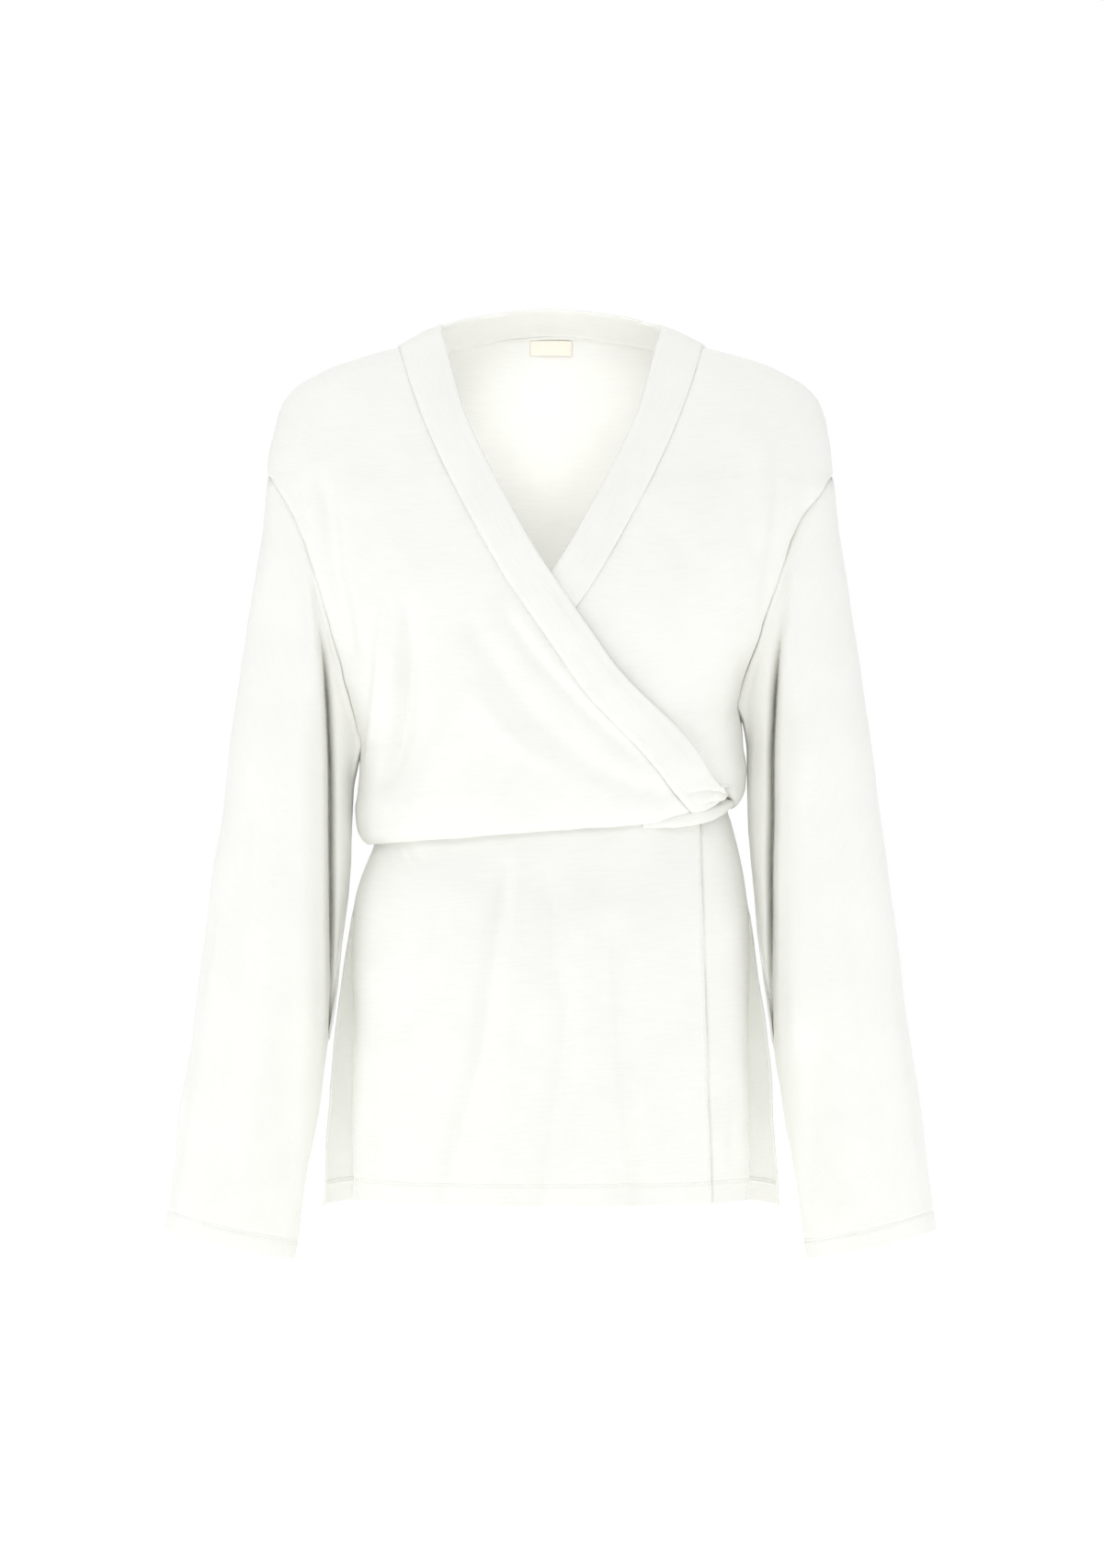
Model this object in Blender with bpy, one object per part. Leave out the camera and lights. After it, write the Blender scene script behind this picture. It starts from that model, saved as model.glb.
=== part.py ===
"""Wrap top in fine jersey, held in the shape it has when it is worn.

Metres, +Z up, front towards -Y, the wearer's right at -X. The origin is
midway between the two points where the shoulder seams meet the neckband.

The bodice and the peplum are horizontal sections of one general figure: each
section is part of a superellipse, given by its reach at the side and its
depth in front and behind. The panels are cut from that surface at the seams,
each has the thickness of its cloth, and neighbours stay SEAM_GAP apart.
"""

import math

import bmesh
import bpy
import numpy as np

MM = 0.001

# Cloth
CLOTH = 1.4 * MM                # thickness of the panels
BAND_CLOTH = 2.0 * MM           # the neckband is folded double
LABEL_CLOTH = 0.9 * MM
SEAM_GAP = 0.3 * MM             # between two pieces at their seam
SHARPEST_SEAM = 0.3             # under the arm, where two faces meet, it widens by 1 / this
LAYER = 4.4 * MM                # the overlap lies this far outside the underlap
LAYER_RUN = 25 * MM             # distance in which it rises to that

# Heights, measured from the shoulder points
NECK_POINT_Z = -2 * MM
ARMHOLE_TOP_Z = -98.7 * MM
UNDERARM_Z = -295 * MM
SIDE_END_Z = -336.5 * MM        # the blousing begins below this
WAIST_Z = -366.5 * MM           # lowest point of the blousing, at the centre
SLIT_TOP_Z = -428 * MM
HEM_Z = -648 * MM
WAIST_TILT = 0.097              # the waist rises towards the end of the wrap
TILT_START_Z = -100 * MM        # the tilt fades out above this
TILT_FULL_Z = -280 * MM

# Widths and depths
FRONT_ROUNDNESS = 2.2           # superellipse exponents
BACK_ROUNDNESS = 2.4
WAIST_SIDE = 134.5 * MM         # section through the waist seam
WAIST_FRONT = 80 * MM
WAIST_BACK = 66 * MM
UNDER_REACH = 0.6               # share of the overlap's reach past the centre
UNDER_RISE = 10.5 * MM          # the hidden waist edge lies above the other
UNDER_RISE_FROM = 126 * MM      # and rises to that between these distances to the side
UNDER_RISE_TO = 113 * MM
EDGE_CLEARANCE = 3 * MM         # the overlap is clear of the underlap this far before its edge

# Neckband
BAND_WIDTH = 32 * MM
BAND_ARCH = 0.6 * MM
BAND_NARROWING = 0.12           # at the wrap's end it is narrower by this share
NARROWING_START_Z = -315 * MM
NARROWING_END_Z = -352 * MM
BACK_NECK_RISE = 14 * MM        # the back of the neck seam, above its ends
COLLAR_SIDE = 82.5 * MM         # top edge of the band round the neck
COLLAR_BACK = 47 * MM
COLLAR_SIDE_Z = 16.5 * MM
COLLAR_BACK_Z = 29.5 * MM
COLLAR_LEAN = 0.9               # at the shoulders its free edge keeps this share of the depth
LEAN_START_Z = -12 * MM         # and lower down it lies on the front
LEAN_END_Z = -45 * MM

# Label
LABEL_WIDTH = 32 * MM
LABEL_HEIGHT = 10 * MM
LABEL_DROP = 3 * MM             # below the neck seam

# Sleeve
CUFF_Z = -682 * MM
CUFF_SLOPE = 11 * MM            # the cuff is higher outside than inside
SLEEVE_BLEND = 0.35             # share of the length in which it leaves the armhole
UNDERARM_BLEND = 0.08           # the same under the arm
SLEEVE_FORWARD = 16 * MM        # the cuff hangs this far in front

# Mesh density
SHOULDER_ROWS = (-2, -5.6, -10, -16, -23, -32, -44, -62, -80, -98.7)
ARMHOLE_STEPS = 9
SIDE_ROWS = (-308, -322)
FRONT_COLUMNS = 15
BACK_COLUMNS = 20
SLEEVE_ROWS = 17
PEPLUM_TOP_ROWS = (0, -10, -24, -42)
PEPLUM_STEPS = 8
PEPLUM_FRONT_COLUMNS = 15
PEPLUM_BACK_COLUMNS = 20

# Armhole seam: height and reach, mm
ARMHOLE_LINE = ((-98.7, 215), (-115.5, 204.6), (-138.6, 191.3), (-165, 180.5), (-190, 172),
                (-212, 166), (-231, 160.3), (-262, 151.6), (-280, 146.8), (-289.5, 144.6),
                (-295, 145.5))
# Reach of the whole figure: the shoulder line, and the side seam under the arm.
# Beside the armhole it is wider than the seam, which so lies before and behind the arm
FIGURE = ((-2, 116.5), (-5.6, 131), (-14.7, 160.5), (-22.4, 178.7), (-30.8, 192),
          (-39.2, 200.4), (-56, 208.1), (-75, 212.6), (-98.7, 215), (-115.5, 214.2),
          (-138.6, 209), (-165, 200.5), (-190, 191.5), (-212, 182.5), (-231, 173),
          (-262, 157), (-280, 149.5), (-295, 145.5), (-315, 146.2), (-336.5, 149))
# Depth of the figure in front and behind at each height
DEPTHS = (
    # height, front, back
    (10, 40, 72),
    (-2, 45, 75),
    (-20, 62, 79.5),
    (-50, 79, 85.5),
    (-100, 96, 92),
    (-150, 105, 95),
    (-190, 108, 93.5),
    (-250, 105, 86.5),
    (-310, 98, 81),
    (-336.5, 96, 81),
)
# Blousing: height above the waist and distance outside the waist section
BLOUSE = ((17, 13.4), (9, 11.4), (4, 8.6), (1, 5.8), (0, 4.0), (0.5, 2.6), (2.0, 1.3))
# Neckline seam of a front: height, distance from the centre towards its own side
NECK_SEAM = ((-2, 114.2), (-35, 105.2), (-74, 89.5), (-104, 74.5), (-138, 55.3), (-179, 29.9),
             (-211, 7.2), (-238, -11.8), (-261, -28), (-310, -68.5), (-358, -109.5), (-372, -121.5))
# The band's end, gathered into the left side seam: x and z of its lower edge and
# of its free edge, mm
BAND_TAIL = ((128, -348.4, 130.5, -344.3), (121.5, -350.3, 130, -339.5), (114, -352.3, 129, -335.5))
# Peplum: height, reach at the side of the front, of the back, depth in front, behind
PEPLUM = (
    (15, 134.5, 134.5, 80, 66),
    (-1, 134.7, 134.7, 80.1, 66.1),
    (-10, 137.5, 137.5, 81.5, 68.5),
    (-24, 141.8, 141.8, 84.5, 73),
    (-61.5, 149.8, 150.5, 94.5, 88),
    (-98, 151, 156.5, 100, 97),
    (-155, 150, 164.5, 103, 104),
    (-281.5, 149.5, 174, 106, 110),
)
PEPLUM_TURN = 8 * MM            # its top edge is hidden in the blousing, this far above the waist
PEPLUM_TURN_UNDER = 15 * MM
SLIT_OPEN_FRONT = 34 * MM       # at the hem the front edge is this far before the side
SLIT_OPEN_BACK = 4 * MM         # and the back edge this far before it
# Free front edge of the overlapping peplum: height, distance past the centre
PEPLUM_EDGE = ((-355, 111.5), (-648, 120.5))
UNDER_PEPLUM_EDGE = 100 * MM    # the hidden edge of the other, on the other side
# Sleeve seen from the front: height, outer reach, inner reach, half depth
SLEEVE = (
    (-98.7, 215, 152, 50),
    (-146, 220.5, 150, 54),
    (-196, 228, 149, 56),
    (-246, 236, 147.5, 56),
    (-281, 240.5, 148.5, 55),
    (-300, 243, 150.8, 55),
    (-325, 246, 151.4, 54),
    (-347, 248.5, 151.6, 53),
    (-367, 251.5, 151.8, 52),
    (-395, 256, 152.5, 51),
    (-430, 260.5, 155.3, 50),
    (-465, 265, 159.3, 49),
    (-521, 272, 167.2, 47),
    (-577, 280.5, 176, 45),
    (-633, 288, 184.8, 43),
    (-700, 296, 195.5, 42),
)

# Long folds of a sleeve: angle round it (0 outside, 90 in front), spread, height
# of the fold in mm (a trough is negative), and the heights between which it runs
ARM_FOLDS = (
    (148, 17, -9, -190, -560),
    (212, 15, -7, -200, -500),
    (70, 16, -3, -330, -640),
    (112, 13, 2.5, -250, -600),
    (300, 18, -4, -180, -430),
    (258, 14, -3, -420, -660),
    (20, 14, -2.5, -460, -690),
)
# Largest folds of a bodice or peplum piece: a line from (x, z) to (x, z), the
# half width of the fold, and its height (a trough is negative), all in mm
FOLDS = {
    "bodice_front_right": (
        (-172, -110, -162, -185, 9, -4.0),
        (-188, -75, -180, -150, 8, 2.5),
        (-110, -205, -115, -330, 9, -3.5),
        (-132, -210, -134, -300, 8, 2.5),
        (-35, -175, 5, -262, 11, -3.2),
        (5, -262, 96, -340, 11, -3.2),
        (-20, -195, 60, -300, 7, 2.5),
    ),
    "bodice_front_left": (
        (176, -130, 166, -205, 9, -3.5),
        (136, -205, 132, -275, 9, -3.5),
        (64, -120, 96, -170, 14, -2.5),
        (100, -285, 128, -330, 8, -3.0),
    ),
    "bodice_back": (
        (-150, -120, -120, -215, 12, -4.0),
        (150, -125, 118, -225, 12, -4.0),
        (-30, -285, -45, -345, 12, -3.5),
        (40, -270, 55, -340, 13, -3.5),
        (-100, -280, -110, -345, 10, -3.0),
        (104, -285, 112, -335, 10, -3.0),
    ),
    "peplum_front_right": (
        (-42, -400, -80, -648, 15, -5.0),
        (-25, -420, -38, -648, 12, 3.5),
        (10, -430, 4, -648, 13, -3.5),
        (28, -430, 30, -648, 10, 2.5),
        (52, -450, 68, -648, 12, -5.0),
        (-128, -560, -124, -648, 9, -2.5),
    ),
    "peplum_front_left": (
        (135, -540, 128, -648, 9, -2.5),
    ),
    "peplum_back": (
        (-112, -470, -124, -648, 13, -4.5),
        (-58, -430, -70, -648, 15, -5.5),
        (-8, -450, -4, -648, 15, 4.0),
        (46, -420, 52, -648, 14, -5.5),
        (108, -480, 116, -648, 13, -4.5),
    ),
}
FOLD_FADE = 26 * MM             # a fold dies out over this length at its ends
# A piece that lies under another takes its troughs too
OVER = {"bodice_front_left": "bodice_front_right", "peplum_front_left": "peplum_front_right"}


# ---------------------------------------------------------------- curves

def curve(table, at, column=1):
    """Smooth curve through a table's column, without overshoot (heights fall)."""
    xs = np.array([row[0] for row in table], dtype=float) * MM
    ys = np.array([row[column] for row in table], dtype=float) * MM
    if xs[0] > xs[-1]:
        xs, ys = xs[::-1], ys[::-1]
    step = np.diff(xs)
    slope = np.diff(ys) / step
    tangent = np.empty_like(ys)
    tangent[0], tangent[-1] = slope[0], slope[-1]
    for i in range(1, len(ys) - 1):
        before, after = slope[i - 1], slope[i]
        mean = (before * step[i] + after * step[i - 1]) / (step[i - 1] + step[i])
        limit = 3 * min(abs(before), abs(after)) if before * after > 0 else 0.0
        tangent[i] = min(max(mean, -limit), limit)
    at = min(max(at, xs[0]), xs[-1])
    i = min(int(np.searchsorted(xs, at, side="right")) - 1, len(xs) - 2)
    t = (at - xs[i]) / step[i]
    return float((1 + 2 * t) * (1 - t) ** 2 * ys[i] + t * (1 - t) ** 2 * step[i] * tangent[i]
                 + t * t * (3 - 2 * t) * ys[i + 1] + t * t * (t - 1) * step[i] * tangent[i + 1])


def ramp(value, start, end):
    """0 at start, 1 at end, smooth between them."""
    t = min(max((value - start) / (end - start), 0.0), 1.0)
    return t * t * (3 - 2 * t)


def unit(vectors):
    length = np.linalg.norm(vectors, axis=-1, keepdims=True)
    return vectors / np.maximum(length, 1e-12)


# ---------------------------------------------------------------- figure

def whole_reach(reach, side_depth, depth, roundness):
    """Reach of the whole superellipse that has side_depth at reach."""
    return reach / (1 - (side_depth / depth) ** roundness) ** (1 / roundness)


def section_depth(x, whole, depth, roundness):
    inside = max(1 - min(abs(x) / whole, 1.0) ** roundness, 0.0)
    return depth * inside ** (1 / roundness)


def tilt_share(height):
    return ramp(height, TILT_START_Z, TILT_FULL_Z)


def tilted(height, x):
    """Height at x of the row that has this height at the centre."""
    return height + tilt_share(height) * WAIST_TILT * x


def level(x, z):
    """The row that passes through (x, z): the inverse of tilted."""
    height = z
    for _ in range(4):
        height = z - tilt_share(height) * WAIST_TILT * x
    return height


def side_reach(height):
    beside_arm = UNDERARM_Z < height < ARMHOLE_TOP_Z
    return curve(ARMHOLE_LINE if beside_arm else FIGURE, height)


def bodice_section(height, front):
    """Reach of the panel and of the whole section, its depth and its roundness."""
    reach, whole = side_reach(height), curve(FIGURE, height)
    depth = curve(DEPTHS, height, 1 if front else 2)
    return reach, whole, depth, FRONT_ROUNDNESS if front else BACK_ROUNDNESS


def neck_seam(side, z):
    """Place of a front's neck seam, from the centre towards its own side."""
    out = curve(NECK_SEAM, z)
    return out if out > 0 or side < 0 else out * UNDER_REACH


def neck_end(side, height):
    """The same on the row that has this height at the centre."""
    return neck_seam(side, tilted(height, side * neck_seam(side, height)))


def underlap_edge(z):
    """Signed place of the underlap's free edge, seen from the front."""
    step = 4 * MM
    slope = (neck_seam(1, z + step) - neck_seam(1, z - step)) / (2 * step)
    return neck_seam(1, z) - BAND_WIDTH * math.hypot(1, slope)


def overlap_lift(x, z):
    """How far the overlap stands off to clear the underlap and its band."""
    edge = underlap_edge(z)
    return LAYER * ramp(x, edge - LAYER_RUN, edge - EDGE_CLEARANCE)


def fold_height(piece, x, z):
    """Height of the piece's folds at a point seen from the front."""
    total = 0.0
    above = [fold for fold in FOLDS.get(OVER.get(piece), ()) if fold[-1] < 0]
    for x0, z0, x1, z1, half_width, height in list(FOLDS.get(piece, ())) + above:
        along = np.array([x1 - x0, z1 - z0]) * MM
        length = float(np.hypot(*along))
        along /= length
        offset = np.array([x - x0 * MM, z - z0 * MM])
        run = float(offset @ along)
        across = float(offset[0] * along[1] - offset[1] * along[0])
        ends = ramp(run, -FOLD_FADE, FOLD_FADE) * ramp(length - run, -FOLD_FADE, FOLD_FADE)
        total += height * MM * ends * math.exp(-(across / (half_width * MM)) ** 2)
    return total


# ---------------------------------------------------------------- bodice

def bodice_levels():
    """Heights of the rows down to where the blousing begins."""
    rows = [height * MM for height in SHOULDER_ROWS]
    middle = (ARMHOLE_TOP_Z + UNDERARM_Z) / 2
    half = (ARMHOLE_TOP_Z - UNDERARM_Z) / 2
    rows += [middle + half * math.cos(math.pi * i / ARMHOLE_STEPS) for i in range(1, ARMHOLE_STEPS)]
    rows += [UNDERARM_Z] + [height * MM for height in SIDE_ROWS]
    rows.append(SIDE_END_Z)
    return rows


def side_to_end(reach, end, whole, columns):
    """Angles round a section from its side to x = end, even except near the side."""
    first, last = math.acos(min(reach / whole, 1.0)), math.acos(end / whole)
    steps = [i / columns for i in range(columns + 1)]
    return [last * u + first * (1 - u) ** 2 for u in steps]


def side_to_side(reach, whole, columns):
    """The same from one side to the other, from +reach to -reach."""
    half = side_to_end(reach, 0.0, whole, columns // 2)
    return half + [math.pi - angle for angle in half[-2::-1]]


def section_points(angles, whole, depth, roundness):
    """Distance from the centre and depth at each angle."""
    points = []
    for angle in angles:
        x = whole * math.cos(angle)
        points.append((x, section_depth(x, whole, depth, roundness)))
    return points


def crown(height, x, reach):
    """The back rises between the shoulders, less so further down."""
    share = 1 - min(abs(x) / reach, 1.0) ** 2
    return BACK_NECK_RISE * share ** 2 * ramp(height, -70 * MM, NECK_POINT_Z)


def back_grid(columns=BACK_COLUMNS):
    grid = []
    for height in bodice_levels():
        reach, whole, depth, roundness = bodice_section(height, front=False)
        row = []
        for x, y in section_points(side_to_side(reach, whole, columns), whole, depth, roundness):
            z = tilted(height, -x) + crown(height, x, reach)
            row.append((-x, y + fold_height("bodice_back", -x, z), z))
        grid.append(row)
    for above, out in BLOUSE:
        reach, depth = WAIST_SIDE + out * MM, WAIST_BACK + out * MM
        height = WAIST_Z + above * MM
        points = section_points(side_to_side(reach, reach, columns), reach, depth, BACK_ROUNDNESS)
        grid.append([(-x, y, tilted(height, -x)) for x, y in points])
    return pin_sides(grid, (0, -1))


def front_grid(side, columns=FRONT_COLUMNS):
    """Front bodice; side -1 is the wearer's right, which overlaps, and 1 the left."""
    name = "bodice_front_right" if side < 0 else "bodice_front_left"
    grid = []
    for height in bodice_levels():
        reach, whole, depth, roundness = bodice_section(height, front=True)
        end = neck_end(side, height)
        row = []
        angles = side_to_end(reach, end, whole, columns)
        for x, y in section_points(angles, whole, depth, roundness):
            x *= side
            z = tilted(height, x)
            out = fold_height(name, x, z) + (overlap_lift(x, z) if side < 0 else 0.0)
            row.append((x, -y - out, z))
        grid.append(row)
    for above, out in BLOUSE:
        reach = WAIST_SIDE + out * MM
        depth = WAIST_FRONT + out * MM
        height = WAIST_Z + above * MM
        end = neck_end(side, height)
        row = []
        angles = side_to_end(reach, end, reach, columns)
        for x, y in section_points(angles, reach, depth, FRONT_ROUNDNESS):
            x *= side
            z = tilted(height, x)
            if side < 0:
                y += overlap_lift(x, z)
            else:
                z += UNDER_RISE * (1 - ramp(x, UNDER_RISE_TO, UNDER_RISE_FROM))
            row.append((x, -y, z))
        grid.append(row)
    return pin_sides(grid, (0,))


def pin_sides(grid, ends):
    """Above the armhole and below it the side points lie in the plane y = 0."""
    rows = len(bodice_levels())
    below = rows - len(SIDE_ROWS) - 2
    for i, row in enumerate(grid):
        if i < len(SHOULDER_ROWS) or i >= below:
            for end in ends:
                x, _, z = row[end]
                row[end] = (x, 0.0, z)
    return np.array(grid)


# ---------------------------------------------------------------- neckband

def front_surface(x, z, side):
    """How far the front lies before the shoulders at (x, z)."""
    height = min(level(x, z), NECK_POINT_Z)
    if height >= SIDE_END_Z:
        _, whole, depth, roundness = bodice_section(height, front=True)
    else:
        above = max(height - WAIST_Z, 0.0)
        out = curve(BLOUSE[:5][::-1], above)
        whole, depth, roundness = WAIST_SIDE + out, WAIST_FRONT + out, FRONT_ROUNDNESS
    lift = overlap_lift(x, z) if side < 0 else 0.0
    name = "bodice_front_right" if side < 0 else "bodice_front_left"
    return section_depth(x, whole, depth, roundness) + lift + fold_height(name, x, z)


def band_front(side, seam_points):
    """Free edge beside the seam of one front, at BAND_WIDTH seen from the front."""
    edge = []
    count = len(seam_points)
    for i, (x, y, z) in enumerate(seam_points):
        before, after = seam_points[max(i - 1, 0)], seam_points[min(i + 1, count - 1)]
        along = unit(np.array([after[0] - before[0], after[2] - before[2]]))
        across = np.array([-along[1], along[0]]) * (-side)
        width = BAND_WIDTH * (1 - BAND_NARROWING * ramp(z, NARROWING_START_Z, NARROWING_END_Z))
        free_x, free_z = np.array([x, z]) + across * width
        on_figure = -front_surface(free_x, free_z, side)
        share = ramp(z, LEAN_START_Z, LEAN_END_Z)
        edge.append((free_x, (1 - share) * COLLAR_LEAN * y + share * on_figure, free_z))
    return edge


def band_back(seam_points):
    """Top edge of the band behind the neck, from one shoulder to the other."""
    edge = []
    last = len(seam_points) - 1
    for i in range(last + 1):
        turn = math.pi * i / last
        z = COLLAR_SIDE_Z + (COLLAR_BACK_Z - COLLAR_SIDE_Z) * math.sin(turn) ** 2
        edge.append((-COLLAR_SIDE * math.cos(turn), COLLAR_BACK * math.sin(turn), z))
    return edge


def band_tail():
    """The band's lower and free edge beyond its seam, in the wrap's end."""
    lower, free = [], []
    for x, z, free_x, free_z in BAND_TAIL:
        for edge, px, pz in ((lower, x * MM, z * MM), (free, free_x * MM, free_z * MM)):
            edge.append((px, -front_surface(px, pz, -1), pz))
    return lower, free


def band_grid(right, left, back):
    """Seam edge, middle and free edge of the band, from the wrap's end round the neck."""
    tail_lower, tail_free = band_tail()
    lowest = len(right) - len(BLOUSE) + 3
    right_seam = [tuple(row[-1]) for row in right[:lowest]]
    left_seam = [tuple(row[-1]) for row in left[:lowest]]
    back_seam = [tuple(point) for point in back[0]]
    seam = tail_lower + right_seam[::-1] + back_seam + left_seam
    free = (tail_free + band_front(-1, right_seam)[::-1] + band_back(back_seam)
            + band_front(1, left_seam))
    seam, free = np.array(seam), np.array(free)
    along = unit(np.gradient(seam, axis=0))
    out = unit(np.cross(unit(free - seam), along))
    middle = (seam + free) / 2 + out * BAND_ARCH
    return np.stack([seam, middle, free])


# ---------------------------------------------------------------- sleeves

def arm_fold(height, turn):
    """Height of a sleeve's folds."""
    total = 0.0
    for angle, spread, rise, top, end in ARM_FOLDS:
        near = (math.degrees(turn) - angle + 180) % 360 - 180
        ends = ramp(height, top * MM, (top - 60) * MM) * ramp(height, end * MM, (end + 90) * MM)
        total += rise * MM * ends * math.exp(-(near / spread) ** 2)
    return total


def sleeve_tube(height, turn):
    """Point of the hanging sleeve at a height; turn 0 is outside, 90 in front."""
    outer, inner = curve(SLEEVE, height, 1), curve(SLEEVE, height, 2)
    half_depth = curve(SLEEVE, height, 3)
    out = arm_fold(height, turn)
    forward = SLEEVE_FORWARD * ramp(height, UNDERARM_Z + 60 * MM, CUFF_Z)
    x = (outer + inner) / 2 + (outer - inner) / 2 * math.cos(turn)
    y = -(half_depth + out) * math.sin(turn) - forward
    return np.array([x, y])


def sleeve_grid(side, armhole):
    """Rings from the armhole seam to the cuff; armhole is the closed seam loop."""
    count = len(armhole)
    grid = []
    for i in range(SLEEVE_ROWS + 1):
        t = i / SLEEVE_ROWS
        ring = []
        for j, (x, y, z) in enumerate(armhole):
            turn = 2 * math.pi * j / count
            cuff = CUFF_Z + CUFF_SLOPE * math.cos(turn)
            height = z + (cuff - z) * t
            hanging = sleeve_tube(height, turn)
            start = np.array([abs(x), y]) - sleeve_tube(z, turn)
            under = ((1 - math.cos(turn)) / 2) ** 2
            blend = SLEEVE_BLEND + (UNDERARM_BLEND - SLEEVE_BLEND) * under
            x_now, y_now = hanging + start * (1 - ramp(t, 0, blend))
            ring.append((side * x_now, y_now, height))
        grid.append(ring)
    return np.array(grid)


def armhole_loop(front, back, side):
    """Closed loop: top, down the front, underarm, up the back."""
    top = len(SHOULDER_ROWS) - 1
    bottom = top + ARMHOLE_STEPS
    column = 0 if side < 0 else -1
    down = [tuple(front[i][0]) for i in range(top, bottom + 1)]
    up = [tuple(back[i][column]) for i in range(bottom - 1, top, -1)]
    return down + up


# ---------------------------------------------------------------- peplum

def peplum_levels(first):
    """Heights of the rows below the waist, relative to it."""
    slit = SLIT_TOP_Z - WAIST_Z
    rows = [first] + [drop * MM for drop in PEPLUM_TOP_ROWS] + [slit]
    hem = HEM_Z - WAIST_Z
    rows += [slit + (hem - slit) * (i + 1) / PEPLUM_STEPS for i in range(PEPLUM_STEPS)]
    return rows


def peplum_row(drop, front):
    """Side reach, its depth, whole reach, depth and roundness below the waist."""
    reach = curve(PEPLUM, drop, 1 if front else 2)
    depth = curve(PEPLUM, drop, 3 if front else 4)
    roundness = FRONT_ROUNDNESS if front else BACK_ROUNDNESS
    opened = ramp(drop, SLIT_TOP_Z - WAIST_Z, HEM_Z - WAIST_Z)
    return reach, opened, depth, roundness


def peplum_height(drop, x):
    tilt = WAIST_TILT * x * (1 - ramp(drop, 0, SLIT_TOP_Z - WAIST_Z))
    return WAIST_Z + drop + tilt


def peplum_lift(x):
    edge = -UNDER_PEPLUM_EDGE
    return LAYER * ramp(x, edge - LAYER_RUN, edge - EDGE_CLEARANCE)


def peplum_front_grid(side):
    name = "peplum_front_right" if side < 0 else "peplum_front_left"
    first = PEPLUM_TURN if side < 0 else PEPLUM_TURN_UNDER
    grid = []
    for drop in peplum_levels(first):
        reach, opened, depth, roundness = peplum_row(drop, front=True)
        before = SLIT_OPEN_FRONT * opened
        whole = whole_reach(reach, before, depth, roundness)
        end = -curve(PEPLUM_EDGE, WAIST_Z + drop) if side < 0 else -UNDER_PEPLUM_EDGE
        row = []
        angles = side_to_end(reach, end, whole, PEPLUM_FRONT_COLUMNS)
        for x, y in section_points(angles, whole, depth, roundness):
            x *= side
            z = peplum_height(drop, x)
            out = fold_height(name, x, z) + (peplum_lift(x) if side < 0 else 0.0)
            row.append((x, -y - out, z))
        if drop >= SLIT_TOP_Z - WAIST_Z - 1e-9:
            row[0] = (row[0][0], 0.0, row[0][2])
        grid.append(row)
    return np.array(grid)


def peplum_back_grid():
    grid = []
    for drop in peplum_levels(PEPLUM_TURN):
        reach, opened, depth, roundness = peplum_row(drop, front=False)
        row = []
        angles = side_to_side(reach, reach, PEPLUM_BACK_COLUMNS)
        for x, y in section_points(angles, reach, depth, roundness):
            z = peplum_height(drop, -x)
            shift = SLIT_OPEN_BACK * opened * (abs(x) / reach) ** 6
            row.append((-x, y + fold_height("peplum_back", -x, z) - shift, z))
        if drop >= SLIT_TOP_Z - WAIST_Z - 1e-9:
            for end in (0, -1):
                row[end] = (row[end][0], 0.0, row[end][2])
        grid.append(row)
    return np.array(grid)


# ---------------------------------------------------------------- label

def label_grid():
    """Patch of the back's inner face just below the band, moved inwards."""
    half = LABEL_WIDTH / 2
    grid = []
    for i in range(3):
        row = []
        for j in range(5):
            x = -half + LABEL_WIDTH * j / 4
            drop = LABEL_DROP + LABEL_HEIGHT * i / 2
            height = NECK_POINT_Z - drop
            reach, whole, depth, roundness = bodice_section(height, front=False)
            y = section_depth(x, whole, depth, roundness)
            inward = CLOTH + SEAM_GAP * 2
            row.append((x, y - inward, height + crown(height, x, reach)))
        grid.append(row)
    return np.array(grid)


# ---------------------------------------------------------------- solids

def grid_normals(grid, closed):
    """Normals of a grid of points, pointing away from the figure or the arm."""
    down = np.gradient(grid, axis=0)
    if closed:
        across = (np.roll(grid, -1, axis=1) - np.roll(grid, 1, axis=1)) / 2
    else:
        across = np.gradient(grid, axis=1)
    return unit(np.cross(down, across))


def key(point):
    return tuple(int(round(value * 1e7)) for value in point)


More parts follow.
